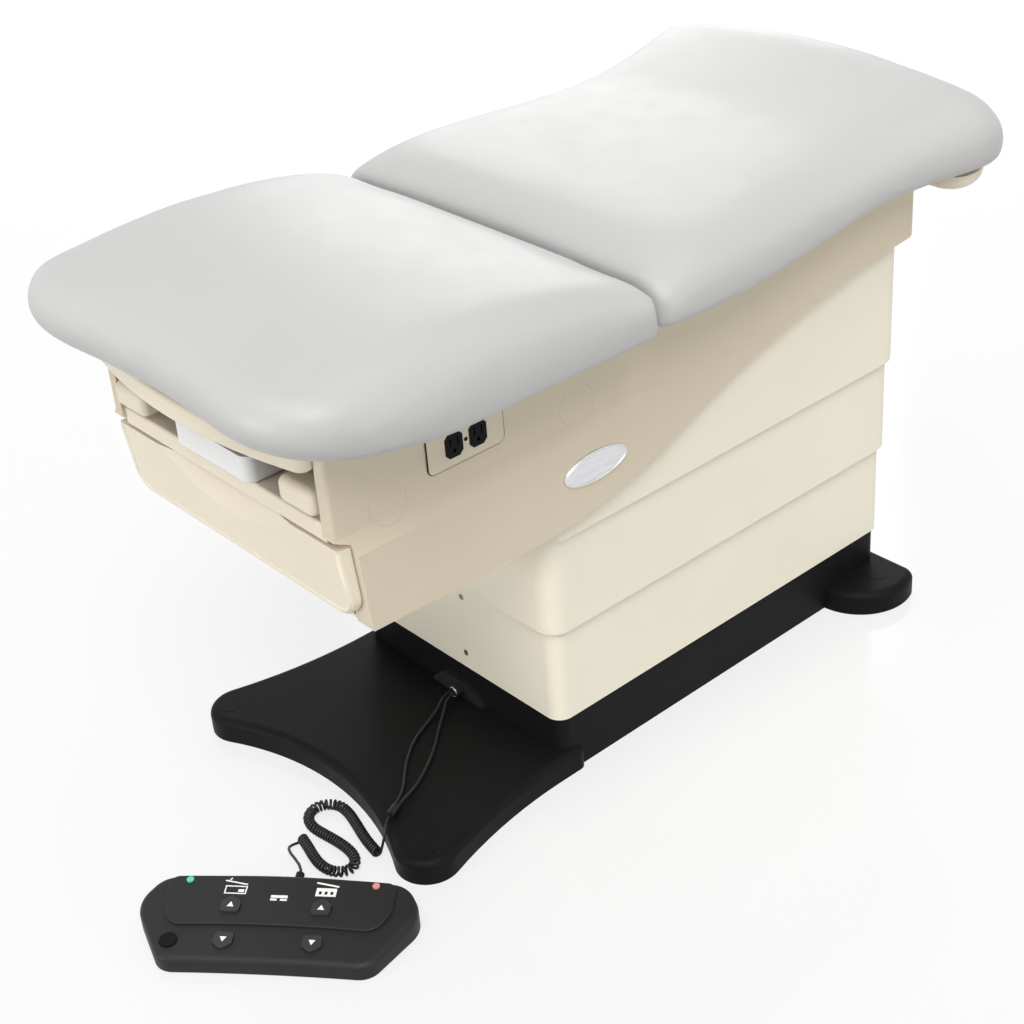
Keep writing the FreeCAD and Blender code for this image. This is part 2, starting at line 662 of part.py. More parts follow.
back_start = crease_y + crease_gap
rim = pad_crown - back_fall
pillow_rim = pillow_crown - 38
back_rows = [
    (back_start, pad_half_width - 14, skirt_z + 2, crease_top - 2, 2),
    (back_start + 12, pad_half_width - 10, skirt_z, crease_top + 8, 6),
    (back_start + 29, pad_half_width - 7, skirt_z, rim - 12, 9),
    (back_start + 80, pad_half_width - 5, skirt_z, rim - 3, 12),
    (back_start + 190, pad_half_width - 9, skirt_z, rim, 12),
    (back_start + 330, pad_half_width - 26, skirt_z + 2, rim, 13),
    (back_start + 460, waist_half_width, pad_bottom + 1, rim - 1, 15),
    (head_end - 190, waist_half_width + 5, pad_bottom + 2, rim + 7, 20),
    (head_end - 110, head_half_width - 5, pad_bottom + 2, pillow_rim - 3, 31),
    (head_end - 55, head_half_width, pad_bottom + 2, pillow_rim, 38),
    (head_end - 22, head_half_width - 16, pad_bottom + 5, pillow_rim - 12, 32),
    (head_end - 6, head_half_width - 50, pad_bottom + 16, pillow_rim - 36, 18),
    (head_end, head_half_width - 90, pad_bottom + 28, pillow_rim - 54, 8)]
back_loft = Part.makeLoft([cushion_section(*row) for row in back_rows], True, False)
back_pad = back_loft.cut(under_pads)
notches = []
for s in (-1, 1):
    notch = box(tab_in - 2, crank_out + 2, crease_y - tab_radius - 3, crease_y + tab_radius + 3, pad_bottom - 40, 900)
    notch = notch.fuse(box(tab_in - 18, crank_out + 2, crease_y - 26, crease_y + 26, pad_bottom - 40, pad_bottom))
    notches.append(notch if s > 0 else mirror(notch))
seat_pad = seat_pad.cut(notches[0]).cut(notches[1])
back_pad = back_pad.cut(notches[0]).cut(notches[1])
save("seat_pad", seat_pad)
save("back_pad", back_pad)

# Back pan with its hinge arms; the right one carries the crank
back_pan_half = waist_half_width - waist_inset
back_pan = rounded(-back_pan_half, back_pan_half, crease_y + 26, head_end - 26, pan_z, pan_z + pan_thick, 18)
arms = []
for s in (-1, 1):
    arm = fuse([cylinder((crank_in, crease_y, hinge_z), (1, 0, 0), tab_radius, tab_thick),
                box(crank_in, crank_out, crease_y - tab_radius, crease_y + tab_radius, pan_z - 14, hinge_z),
                box(crank_in, crank_out, crease_y - tab_radius, crease_y + 110, pan_z - 14, pan_z)])
    if s > 0:
        lever = prism([(crank_in, crease_y + tab_radius, pan_z - 8), (crank_in, crease_y - tab_radius, pan_z + 2),
                       (crank_in, pin_y - 9, pin_z + 7), (crank_in, pin_y + 7, pin_z - 9)], V(tab_thick, 0, 0))
        eye = cylinder((crank_in, pin_y, pin_z), (1, 0, 0), 12, tab_thick)
        stud = cylinder((crank_in, pin_y, pin_z), (1, 0, 0), crank_pin, yoke_out - crank_in + 3)
        arm = fuse([arm, lever, eye, stud])
    arm = arm.cut(cylinder((crank_in - 1, crease_y, hinge_z), (1, 0, 0), pin_radius + 0.05, tab_thick + 2))
    arms.append(arm if s > 0 else mirror(arm))
save("back_pan", back_pan)
save("back_arms", Part.makeCompound(arms))
head_y = housing_rear + 8
head_pan_half = head_half_width - head_inset
head_pan = box(-head_pan_half, head_pan_half, head_y, head_end - 6, pan_z - 24, pan_z)
head_pan = head_pan.makeFillet(70, [e for e in upright(head_pan) if e.Vertexes[0].Y > head_y + 1])
head_pan = head_pan.makeFillet(40, [e for e in upright(head_pan) if e.Vertexes[0].Y < head_y + 1])
head_pan = head_pan.makeFillet(18, top_edges(head_pan, pan_z - 24))
head_pan = head_pan.cut(rounded(28 - head_pan_half, head_pan_half - 28, head_y + 12, head_end - 24, pan_z - 14, pan_z + 1, 30))
save("head_pan", head_pan)

# Back drive: a fixed tube on the frame and a rod whose slotted yoke takes the crank stud
yoke_x = (yoke_in + yoke_out) / 2
drive_start = crease_y + drive_set_back
drive_end = drive_start + drive_length
tube = cylinder((yoke_x, drive_start, actuator_z), (0, 1, 0), actuator_radius, drive_end - drive_start)
clamp = box(yoke_x - 20, yoke_x + 20, drive_end - 90, drive_end - 50, actuator_z, frame_z)
gearbox = box(yoke_x - 30, yoke_x + 30, drive_end - 70, drive_end, actuator_z - 30, actuator_z + 30)
tube = fuse([tube, clamp, gearbox]).cut(cylinder((yoke_x, drive_start - 1, actuator_z), (0, 1, 0), rod_radius + run_gap,
                                                 drive_length - 60))
save("back_actuator", tube)
yoke_low = hinge_z - crank_radius - crank_pin - 3
yoke_slot = crank_pin + 3.2
yoke = box(yoke_in, yoke_out, pin_y - yoke_slot - 7, pin_y + yoke_slot + 7, actuator_z - 12, pin_z + crank_pin + 10)
yoke = yoke.cut(box(yoke_in - 1, yoke_out + 1, pin_y - yoke_slot, pin_y + yoke_slot, yoke_low, pin_z + crank_pin + 3))
rod = cylinder((yoke_x, pin_y + yoke_slot, actuator_z), (0, 1, 0), rod_radius, drive_start + 70 - pin_y)
rod = rod.cut(box(0, 400, pin_y - 60, pin_y + yoke_slot + 1, yoke_low, 900))
save("actuator_rod", fuse([yoke, rod]))

# Drawer: leaning front with a scooped pull, box behind it and two runners
front_profile = [(-drawer_half, drawer_front_y, drawer_top),
                 (-drawer_half, drawer_front_y + drawer_thick, drawer_top),
                 (-drawer_half, drawer_back(drawer_bottom), drawer_bottom),
                 (-drawer_half, drawer_front_y + drawer_lean, drawer_bottom)]
front = prism(front_profile, V(2 * drawer_half, 0, 0))
low_corners = [e for e in front.Edges if abs(e.tangentAt(e.FirstParameter).y) > 0.99
               and e.Vertexes[0].Z < drawer_bottom + 1]
front = front.makeFillet(34, low_corners)
scoop_circle = (scoop_half ** 2 + scoop_drop ** 2) / (2 * scoop_drop)
scoop_ball = (scoop_circle ** 2 - (scoop_circle - scoop_drop) ** 2) / (2 * scoop_depth)
ball_out = math.sqrt(scoop_ball ** 2 - scoop_circle ** 2)
lean = math.atan2(drawer_lean, drawer_top - drawer_bottom)
rise = scoop_circle - scoop_drop
ball_y = drawer_front_y - ball_out * math.cos(lean) - rise * math.sin(lean)
ball_z = drawer_top - ball_out * math.sin(lean) + rise * math.cos(lean)
front = front.cut(Part.makeSphere(scoop_ball, V(0, ball_y, ball_z)))
rim_edges = [e for e in front.Edges if e.BoundBox.YMin < drawer_front_y + drawer_lean + 1
             and e.BoundBox.ZMax < drawer_top - 2 and e.BoundBox.YMax < drawer_front_y + drawer_lean + 1
             and e.Length > 60 and abs(e.BoundBox.ZMin - drawer_bottom) < 1]
front = front.makeFillet(4, rim_edges) if rim_edges else front
save("drawer_front", front)
box_front = drawer_front_y + drawer_thick + drawer_lean
box_low = bay_floor_z + 12
tray = box(-drawer_box_half, drawer_box_half, box_front, bulkhead_y - 8, box_low, drawer_top - 26)
tray = tray.cut(box(2.5 - drawer_box_half, drawer_box_half - 2.5, box_front + 2.5, bulkhead_y - 10.5,
                    box_low + 2.5, 700))
link_z = drawer_top - 70
links = box(-150, 150, box_front - 16, box_front, link_z, link_z + 30)
links = links.cut(front)
rail_x = drawer_box_half + 4.4
runner = box(rail_x + seat_gap, inner, box_front + 12, bulkhead_y, box_low + 38, box_low + 52)
slide = box(drawer_box_half, rail_x, box_front + 6, bulkhead_y - 8, box_low + 40, box_low + 50)
save("drawer_runners", both(runner))
save("drawer_box", fuse([tray, links, slide, mirror(slide)]))

# Leg extension: bowed handle and a slab between the frame and the seat pan
end_arc = bumper_half - 12
handle_wire = Part.Wire([
    arc((-bumper_half, bumper_end, bumper_bottom), (0, bumper_front, bumper_bottom), (bumper_half, bumper_end, bumper_bottom)),
    line((bumper_half, bumper_end, bumper_bottom), (end_arc, bumper_end + bumper_depth, bumper_bottom)),
    arc((end_arc, bumper_end + bumper_depth, bumper_bottom), (0, bumper_front + bumper_depth, bumper_bottom),
        (-end_arc, bumper_end + bumper_depth, bumper_bottom)),
    line((-end_arc, bumper_end + bumper_depth, bumper_bottom), (-bumper_half, bumper_end, bumper_bottom))])
handle_block = Part.Face(handle_wire).extrude(V(0, 0, bumper_top - bumper_bottom))
outer_corners = [e for e in upright(handle_block) if e.Vertexes[0].Y < bumper_end + 1]
handle = handle_block.makeFillet(16, outer_corners)
handle = handle.makeFillet(8, top_edges(handle, bumper_top) + top_edges(handle, bumper_bottom))
slab_low = frame_top + seat_gap
slab = box(-slab_half, slab_half, bumper_front + bumper_depth - 3, crease_y - 100, slab_low, bumper_top - 3)
save("leg_handle", handle)
save("leg_slab", slab.cut(handle_block))
guide = box(slab_half + seat_gap, rail_x0, panel_front_y + 30, crease_y - 100, frame_top, bumper_top - 3)
save("leg_guides", both(guide))

# Treatment pan on the shelf
tray_low = shelf_z + seat_gap
pan_block = box(-tray_half, tray_half, tray_front, tray_back, tray_low, tray_low + tray_height)
pan_block = pan_block.makeFillet(16, upright(pan_block))
pan_block = pan_block.makeFillet(9, top_edges(pan_block, tray_low))
pan_room = box(4 - tray_half, tray_half - 4, tray_front + 4, tray_back - 4, tray_low + 4, 700)
pan_room = pan_room.makeFillet(12, upright(pan_room))
save("treatment_pan", pan_block.cut(pan_room))

# Stirrups: a knob on a square bar that slides in its guide
bar_half = stirrup_bar / 2
knob_right = soft_box(stirrup_x - 38, stirrup_x + 34, panel_front_y - 9, panel_front_y + 34, stirrup_z - 18, stirrup_z + 20, 12)
bar_right = box(stirrup_x - bar_half, stirrup_x + bar_half, panel_front_y + 34, bulkhead_y - 10,
                stirrup_z - bar_half, stirrup_z + bar_half)
save("stirrup_right", fuse([knob_right, bar_right]))
save("stirrup_left", mirror(fuse([knob_right, bar_right])))
guide_half = bar_half + run_gap
channel = box(stirrup_x - guide_half - 4, stirrup_x + guide_half + 4, panel_front_y + 60, bulkhead_y,
              shelf_z, stirrup_z + guide_half + 4)
channel = channel.cut(box(stirrup_x - guide_half, stirrup_x + guide_half, panel_front_y, bulkhead_y - 6,
                          stirrup_z - guide_half, stirrup_z + guide_half))
save("stirrup_guides", both(channel))


# Foot control, drawn square to itself and then turned into place on the floor
def place(shape):
    shape.rotate(V(0, 0, 0), V(0, 0, 1), pedal_turn)
    shape.translate(V(pedal_x, pedal_y, 0))
    return shape


slope = (pedal_rear_z - pedal_front_z) / (pedal_rear_v - pedal_front_v)


def deck(v):
    return pedal_front_z + (v - pedal_front_v) * slope


def above(lift):
    return prism([(-300, -300, deck(-300) + lift), (-300, 300, deck(300) + lift), (-300, 300, 300),
                  (-300, -300, 300)], V(600, 0, 0))


def outline(points, hollow, bow, z0, z1):
    a, b, c, d, e, f = [(x, y, z0) for x, y in points]
    front = arc(a, (0, a[1] + hollow, z0), b)
    edges = [front, line(b, c), line(c, d), arc(d, (0, bow, z0), e), line(e, f), line(f, a)]
    return Part.Face(Part.Wire(edges)).extrude(V(0, 0, z1 - z0))


rear_half = pedal_side_half - pedal_rear_in
shape_points = [(-pedal_front_half, pedal_front_v), (pedal_front_half, pedal_front_v), (pedal_side_half, pedal_wide_v),
                (rear_half, pedal_rear_v - 10), (-rear_half, pedal_rear_v - 10), (-pedal_side_half, pedal_wide_v)]


def corners_at(shape, v):
    return [e for e in upright(shape) if abs(e.Vertexes[0].Y - v) < 0.01]


pedal = outline(shape_points, pedal_front_bow, pedal_rear_v, pedal_floor, 70)
pedal = pedal.makeFillet(pedal_side_round, corners_at(pedal, pedal_wide_v))
pedal = pedal.makeFillet(pedal_front_round, corners_at(pedal, pedal_front_v))
pedal = pedal.makeFillet(pedal_rear_round, corners_at(pedal, pedal_rear_v - 10))
pedal = pedal.cut(above(0))
deck_edges = [e for e in pedal.Edges if all(abs(v.Z - deck(v.Y)) < 0.01 for v in e.Vertexes)]
pedal = pedal.makeFillet(pedal_edge, deck_edges)
lip_v = -32.0
lip_bow = 5.0
panel_half = rear_half - 12
panel_side_v = 4.0
panel_points = [(16 - panel_half, lip_v), (panel_half - 16, lip_v), (panel_half, panel_side_v),
                (panel_half - 1, pedal_rear_v - 15), (1 - panel_half, pedal_rear_v - 15), (-panel_half, panel_side_v)]
panel = outline(panel_points, lip_bow, pedal_rear_v - 10, 0, 70)
panel = panel.makeFillet(28, corners_at(panel, lip_v))
panel = panel.makeFillet(14, corners_at(panel, panel_side_v) + corners_at(panel, pedal_rear_v - 15))
panel = panel.common(above(0)).cut(above(deck_rise))
panel_edges = [e for e in panel.Edges if all(abs(v.Z - deck(v.Y) - deck_rise) < 0.01 for v in e.Vertexes)]
panel = panel.makeFillet(2, panel_edges)


key_corner = 4.5


def shield(u, v, point, grow, z0, z1):
    half = 12.5 + grow
    depth = 12 + grow
    corners = [(u - half, v - point * depth, z0), (u + half, v - point * depth, z0),
               (u + half + 1, v + point * (depth - 6), z0), (u, v + point * (depth + 4), z0),
               (u - half - 1, v + point * (depth - 6), z0)]
    block = prism(corners, V(0, 0, z1 - z0))
    return block.makeFillet(key_corner + grow, upright(block))


arrow_keys = {"key_up_left": (-62.0, 2.0, 1, deck_rise), "key_up_right": (62.0, 2.0, 1, deck_rise),
              "key_down_left": (-60.0, -53.0, -1, 0.0), "key_down_right": (60.0, -53.0, -1, 0.0)}
key_depth = 7.0
for name, (u, v, point, lift) in arrow_keys.items():
    key = shield(u, v, point, 0, deck(v) + lift - key_depth, 80).cut(above(lift + button_proud))
    well = shield(u, v, point, button_clear, deck(v) + lift - key_depth - button_travel - 0.3, 80)
    pedal = pedal.cut(well)
    panel = panel.cut(well)
    save(name, place(key))
round_u = -134.0
round_v = -56.0
round_key = cylinder((round_u, round_v, deck(round_v) - key_depth), (0, 0, 1), 12, 40).cut(above(button_proud - 1))
pedal = pedal.cut(cylinder((round_u, round_v, deck(round_v) - key_depth - button_travel - 0.3), (0, 0, 1),
                           12 + button_clear, 60))
save("key_round", place(round_key))
lamp_v = pedal_rear_v - 22
lamp_radius = 5.0
for name, u in (("lamp_green", -129.0), ("lamp_red", 129.0)):
    lamp_foot = deck(lamp_v + lamp_radius) + 0.1
    lamp = cylinder((u, lamp_v, lamp_foot), (0, 0, 1), lamp_radius, deck_rise + 1.2)
    panel = panel.cut(cylinder((u, lamp_v, lamp_foot - 5), (0, 0, 1), lamp_radius + 0.1, 20))
    save(name, place(lamp))
relief_u = 12.0
relief_z = 20.0
relief_end = pedal_rear_v + 20
relief = cylinder((relief_u, pedal_rear_v - 15, relief_z), (0, 1, 0), 6, relief_end - pedal_rear_v + 15).cut(pedal)
save("foot_control_base", place(pedal))
save("foot_control_panel", place(panel))
save("foot_control_cord_relief", place(relief))
rubber = [place(cylinder((u, v, 0), (0, 0, 1), 12, pedal_floor))
          for u, v in ((-140, 20), (140, 20), (-95, -60), (95, -60))]
save("foot_control_feet", Part.makeCompound(rubber))


# Cord: straight runs joined by tangent arcs
def route(points):
    edges = []
    radii = []
    spots = [V(*p) for p in points]
    start = spots[0]
    for a, b, c in zip(spots, spots[1:], spots[2:]):
        back = (a - b)
        ahead = (c - b)
        short = min(back.Length, ahead.Length)
        back.normalize()
        ahead.normalize()
        turn = math.pi - back.getAngle(ahead)
        reach = 0.45 * short
        radius = reach / math.tan(turn / 2)
        radii.append(radius)
        entry = b + back * reach
        leave = b + ahead * reach
        middle = (back + ahead).normalize()
        centre_gap = radius / math.cos(turn / 2)
        mid = b + middle * (centre_gap - radius)
        edges.append(Part.makeLine(start, entry))
        edges.append(Part.Arc(entry, mid, leave).toShape())
        start = leave
    edges.append(Part.makeLine(start, spots[-1]))
    return edges, min(radii)


def sweep_tube(edges, diameter):
    path = Part.Wire(edges)
    first = edges[0].valueAt(edges[0].FirstParameter)
    along = edges[0].tangentAt(edges[0].FirstParameter)
    ring_wire = Part.Wire(Part.Circle(first, along, diameter / 2).toShape())
    tube_ = path.makePipeShell([ring_wire], True, False)
    ratio = tube_.Volume / (path.Length * math.pi * diameter ** 2 / 4)
    print("tube length %.0f volume ratio %.4f" % (path.Length, ratio))
    return tube_


# Two leads run from the gland over the plate to a sleeve
lead_z = plate_top + lead_wire / 2 + seat_gap
sleeve_radius = 6.5
sleeve_z = plate_top + sleeve_radius + seat_gap
sleeve_heading = V(0.42, -0.9075, 0)
sleeve_start = V(146, -600, sleeve_z)
sleeve_end = sleeve_start + sleeve_heading * 20
sleeve_side = V(0, 0, 1).cross(sleeve_heading) * 3.0
gland_front = gland_y - gland_length
lead_left_end = sleeve_start - sleeve_side
lead_right_end = sleeve_start + sleeve_side
lead_left_near = lead_left_end - sleeve_heading * 16
lead_right_near = lead_right_end - sleeve_heading * 16
lead_left = [(4, gland_front, gland_z), (4, gland_front - 16, gland_z), (16, gland_front - 38, lead_z + 3),
             (28, gland_front - 70, lead_z), (45, -487, lead_z), (80, -530, lead_z), (116, -562, lead_z),
             tuple(lead_left_near), tuple(lead_left_end)]
lead_right = [(12, gland_front, gland_z), (12, gland_front - 16, gland_z), (28, gland_front - 36, lead_z + 3),
              (50, gland_front - 64, lead_z), (82, -476, lead_z), (110, -516, lead_z), (130, -553, lead_z),
              tuple(lead_right_near), tuple(lead_right_end)]
leads = []
for points in (lead_left, lead_right):
    edges, tightest = route(points)
    print("lead tightest radius %.1f" % tightest)
    leads.append(sweep_tube(edges, lead_wire))
save("cord_leads", Part.makeCompound(leads))
save("cord_sleeve", cylinder(tuple(sleeve_start), tuple(sleeve_heading), sleeve_radius, 20))

# Curly part: the wire winds round a centre line that snakes over the floor
centre_points = [(168, -656), (146, -653), (122, -647), (96, -639), (70, -632), (47, -632), (31, -645), (27, -664),
                 (37, -681), (58, -688), (83, -685), (109, -681), (135, -680), (157, -685), (169, -699), (164, -716),
                 (147, -726), (126, -727), (104, -722), (84, -716), (66, -712)]
centre_curve = Part.BSplineCurve()
centre_curve.interpolate([V(x, y, curl_z) for x, y in centre_points])
centre_edge = centre_curve.toShape()
centre_length = centre_edge.Length


# The turns lie close along the straights and open where the line bends
slices = 400
slice_length = centre_length / slices
turns = [0.0]
for i in range(slices):
    bend = centre_edge.curvatureAt(centre_edge.getParameterByLength((i + 0.5) * slice_length))
    turns.append(turns[-1] + slice_length * (1 - bend * curl_radius) / (wire + curl_gap))
curl_count = int(turns[-1])


def curl_point(t):
    wound = t * turns[-1]
    i = max(k for k in range(slices) if turns[k] <= wound)
    share = (wound - turns[i]) / (turns[i + 1] - turns[i])
    spot = centre_edge.getParameterByLength(min((i + share) * slice_length, centre_length))
    middle = centre_edge.valueAt(spot)
    side = V(0, 0, 1).cross(centre_edge.tangentAt(spot))
    angle = 2 * math.pi * (curl_count + 0.25) * t - math.pi
    return middle + side * (curl_radius * math.cos(angle)) + V(0, 0, curl_radius * math.sin(angle))


def curl_tangent(t):
    step = 0.02 / curl_count
    low = max(0.0, t - step)
    high = min(1.0, t + step)
    return (curl_point(high) - curl_point(low)).normalize()


def biarc(p0, t0, p1, t1):
    chord = p1 - p0
    total = t0 + t1
    a = 2 * (1 - t0.dot(t1))
    b = 2 * chord.dot(total)
    c = -chord.dot(chord)
    d = (-b + math.sqrt(b * b - 4 * a * c)) / (2 * a)
    q0 = p0 + t0 * d
    q1 = p1 - t1 * d
    joint = (q0 + q1) * 0.5
    pieces = []
    for start, tangent, end in ((p0, t0, joint), (joint, (q1 - q0).normalize(), p1)):
        reach = end - start
        across = reach - tangent * reach.dot(tangent)
        radius = reach.dot(reach) / (2 * across.Length)
        centre = start + across.normalize() * radius
        mid = centre + (((start - centre) + (end - centre)).normalize() * radius)
        pieces.append(Part.Arc(start, mid, end).toShape())
        curl_radii.append(radius)
    return pieces


curl_radii = []
steps = curl_count * 2 + 1
stations = [(curl_point(i / steps), curl_tangent(i / steps)) for i in range(steps + 1)]
curl_edges = []
for (p0, t0), (p1, t1) in zip(stations, stations[1:]):
    curl_edges += biarc(p0, t0, p1, t1)
first_point, first_heading = stations[0]
last_point, last_heading = stations[-1]
drop_in = first_point - first_heading * 22
way_in = [tuple(sleeve_end), tuple(sleeve_end + sleeve_heading * 12), tuple(drop_in), tuple(first_point)]
relief_turn = math.radians(pedal_turn)
relief_tip = V(pedal_x + relief_u * math.cos(relief_turn) - relief_end * math.sin(relief_turn),
               pedal_y + relief_u * math.sin(relief_turn) + relief_end * math.cos(relief_turn), relief_z)
relief_out = V(-math.sin(relief_turn), math.cos(relief_turn), 0)
tail_near = relief_tip + relief_out * 14
tail_start = last_point + last_heading * 15
way_out = [tuple(last_point), tuple(tail_start), (72, -743, 12), tuple(tail_near), tuple(relief_tip)]
edges_in, radius_in = route(way_in)
edges_out, radius_out = route(way_out)
print("curl length %.0f pitch %.2f tightest %.2f in %.1f out %.1f"
      % (centre_length, centre_length / curl_count, min(curl_radii), radius_in, radius_out))
samples = [curl_point(i / (24 * curl_count)) for i in range(24 * curl_count + 1)]
nearest = min((samples[i] - samples[j]).Length for i in range(len(samples))
              for j in range(i + 16, min(i + 800, len(samples))))
print("curl gap to itself %.2f" % (nearest - wire))
save("cord_curl", sweep_tube(edges_in + curl_edges + edges_out, wire))
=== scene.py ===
import json
import math

import bmesh
import bpy
from mathutils import Matrix, Vector


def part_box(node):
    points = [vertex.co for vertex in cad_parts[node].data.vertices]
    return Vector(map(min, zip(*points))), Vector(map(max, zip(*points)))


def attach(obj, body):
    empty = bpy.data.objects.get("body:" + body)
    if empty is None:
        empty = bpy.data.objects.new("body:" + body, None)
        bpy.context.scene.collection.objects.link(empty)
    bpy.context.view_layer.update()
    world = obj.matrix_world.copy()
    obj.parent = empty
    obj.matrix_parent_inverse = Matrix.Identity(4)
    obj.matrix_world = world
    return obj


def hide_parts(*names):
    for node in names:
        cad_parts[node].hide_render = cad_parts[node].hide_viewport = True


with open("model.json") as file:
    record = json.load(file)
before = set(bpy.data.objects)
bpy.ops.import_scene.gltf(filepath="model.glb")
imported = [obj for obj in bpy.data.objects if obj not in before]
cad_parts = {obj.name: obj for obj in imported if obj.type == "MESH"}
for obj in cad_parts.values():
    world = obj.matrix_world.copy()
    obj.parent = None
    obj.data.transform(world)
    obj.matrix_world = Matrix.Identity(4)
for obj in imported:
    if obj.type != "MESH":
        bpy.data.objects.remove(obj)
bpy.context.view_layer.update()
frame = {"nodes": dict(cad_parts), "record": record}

# Electric examination table: upholstery, cords, markings, finishes and a plain studio.
# Metres. X runs across the table, Y towards the head, Z up from the floor.

cad_nodes = frame["nodes"]
scene = bpy.context.scene
scene.view_settings.view_transform = "Standard"


# Camera, floor and light

CAMERA_PLACE = (1.8486, -1.7341, 1.7629)
CAMERA_TURN = math.radians(50.79)
CAMERA_FALL = math.radians(31.51)
CAMERA_ROLL = math.radians(-4.77)
CAMERA_LENS = 65.62
CAMERA_SENSOR = 36.0
CAMERA_REACH = 50.0
FLOOR_HALF = 9.0
FLOOR_WHITE = 0.42
FLOOR_ROUGH = 0.14
FLOOR_SHINE = 0.5
FLOOR_GLOW = 1.29
FLOOR_GLOW_SHARE = 0.55
ROOM_LIGHT = 0.30
ROOM_WHITE = 1.0


def make_camera():
    backward = Vector((math.sin(CAMERA_TURN) * math.cos(CAMERA_FALL),
                       -math.cos(CAMERA_TURN) * math.cos(CAMERA_FALL),
                       math.sin(CAMERA_FALL)))
    level = Vector((math.cos(CAMERA_TURN), math.sin(CAMERA_TURN), 0.0))
    upward = backward.cross(level)
    across = level * math.cos(CAMERA_ROLL) + upward * math.sin(CAMERA_ROLL)
    above = upward * math.cos(CAMERA_ROLL) - level * math.sin(CAMERA_ROLL)
    turn = Matrix((across, above, backward)).transposed()
    lens = bpy.data.cameras.new("camera")
    lens.sensor_width = CAMERA_SENSOR
    lens.lens = CAMERA_LENS
    lens.clip_end = CAMERA_REACH
    camera = bpy.data.objects.new("camera", lens)
    camera.matrix_world = Matrix.Translation(CAMERA_PLACE) @ turn.to_4x4()
    scene.collection.objects.link(camera)
    scene.camera = camera


def make_floor():
    material = bpy.data.materials.new("studio_floor")
    material.use_nodes = True
    tree = material.node_tree
    tree.nodes.clear()
    out = tree.nodes.new("ShaderNodeOutputMaterial")
    blend = tree.nodes.new("ShaderNodeMixShader")
    paint = tree.nodes.new("ShaderNodeBsdfPrincipled")
    glow = tree.nodes.new("ShaderNodeEmission")
    path = tree.nodes.new("ShaderNodeLightPath")
    seen = tree.nodes.new("ShaderNodeMath")
    share = tree.nodes.new("ShaderNodeMath")
    paint.inputs["Base Color"].default_value = (FLOOR_WHITE, FLOOR_WHITE, FLOOR_WHITE, 1.0)
    paint.inputs["Roughness"].default_value = FLOOR_ROUGH
    paint.inputs["Specular IOR Level"].default_value = FLOOR_SHINE
    glow.inputs["Color"].default_value = (1.0, 1.0, 1.0, 1.0)
    glow.inputs["Strength"].default_value = FLOOR_GLOW
    seen.operation = "MAXIMUM"
    share.operation = "MULTIPLY"
    share.inputs[1].default_value = FLOOR_GLOW_SHARE
    tree.links.new(path.outputs["Is Camera Ray"], seen.inputs[0])
    tree.links.new(path.outputs["Is Glossy Ray"], seen.inputs[1])
    tree.links.new(seen.outputs[0], share.inputs[0])
    tree.links.new(share.outputs[0], blend.inputs["Fac"])
    tree.links.new(paint.outputs["BSDF"], blend.inputs[1])
    tree.links.new(glow.outputs["Emission"], blend.inputs[2])
    tree.links.new(blend.outputs["Shader"], out.inputs["Surface"])
    shape = bmesh.new()
    bmesh.ops.create_grid(shape, x_segments=1, y_segments=1, size=FLOOR_HALF)
    mesh = bpy.data.meshes.new("studio_floor")
    shape.to_mesh(mesh)
    shape.free()
    mesh.materials.append(material)
    floor = bpy.data.objects.new("studio_floor", mesh)
    scene.collection.objects.link(floor)


def make_world():
    world = bpy.data.worlds.new("studio")
    scene.world = world
    world.use_nodes = True
    tree = world.node_tree
    tree.nodes.clear()
    out = tree.nodes.new("ShaderNodeOutputWorld")
    mix = tree.nodes.new("ShaderNodeMixShader")
    soft = tree.nodes.new("ShaderNodeBackground")
    plain = tree.nodes.new("ShaderNodeBackground")
    path = tree.nodes.new("ShaderNodeLightPath")
    first = tree.nodes.new("ShaderNodeMath")
    second = tree.nodes.new("ShaderNodeMath")
    soft.inputs["Color"].default_value = (1.0, 1.0, 1.0, 1.0)
    soft.inputs["Strength"].default_value = ROOM_LIGHT
    plain.inputs["Color"].default_value = (1.0, 1.0, 1.0, 1.0)
    plain.inputs["Strength"].default_value = ROOM_WHITE
    first.operation = "MAXIMUM"
    second.operation = "MAXIMUM"
    tree.links.new(path.outputs["Is Camera Ray"], first.inputs[0])
    tree.links.new(path.outputs["Is Glossy Ray"], first.inputs[1])
    tree.links.new(first.outputs[0], second.inputs[0])
    tree.links.new(path.outputs["Is Transmission Ray"], second.inputs[1])
    tree.links.new(second.outputs[0], mix.inputs["Fac"])
    tree.links.new(soft.outputs["Background"], mix.inputs[1])
    tree.links.new(plain.outputs["Background"], mix.inputs[2])
    tree.links.new(mix.outputs["Shader"], out.inputs["Surface"])


def add_light(name, kind, place, target, power):
    lamp = bpy.data.lights.new(name, kind)
    lamp.energy = power
    holder = bpy.data.objects.new(name, lamp)
    aim = (Vector(target) - Vector(place)).to_track_quat("-Z", "Y")
    holder.matrix_world = Matrix.Translation(place) @ aim.to_matrix().to_4x4()
    scene.collection.objects.link(holder)
    return lamp


def make_sky(name, place, power, spread):
    add_light(name, "SUN", place, (0.0, 0.0, 0.0), power).angle = math.radians(spread)


def make_lamp(name, place, target, size, power):
    lamp = add_light(name, "AREA", place, target, power)
    lamp.shape = "SQUARE"
    lamp.size = size


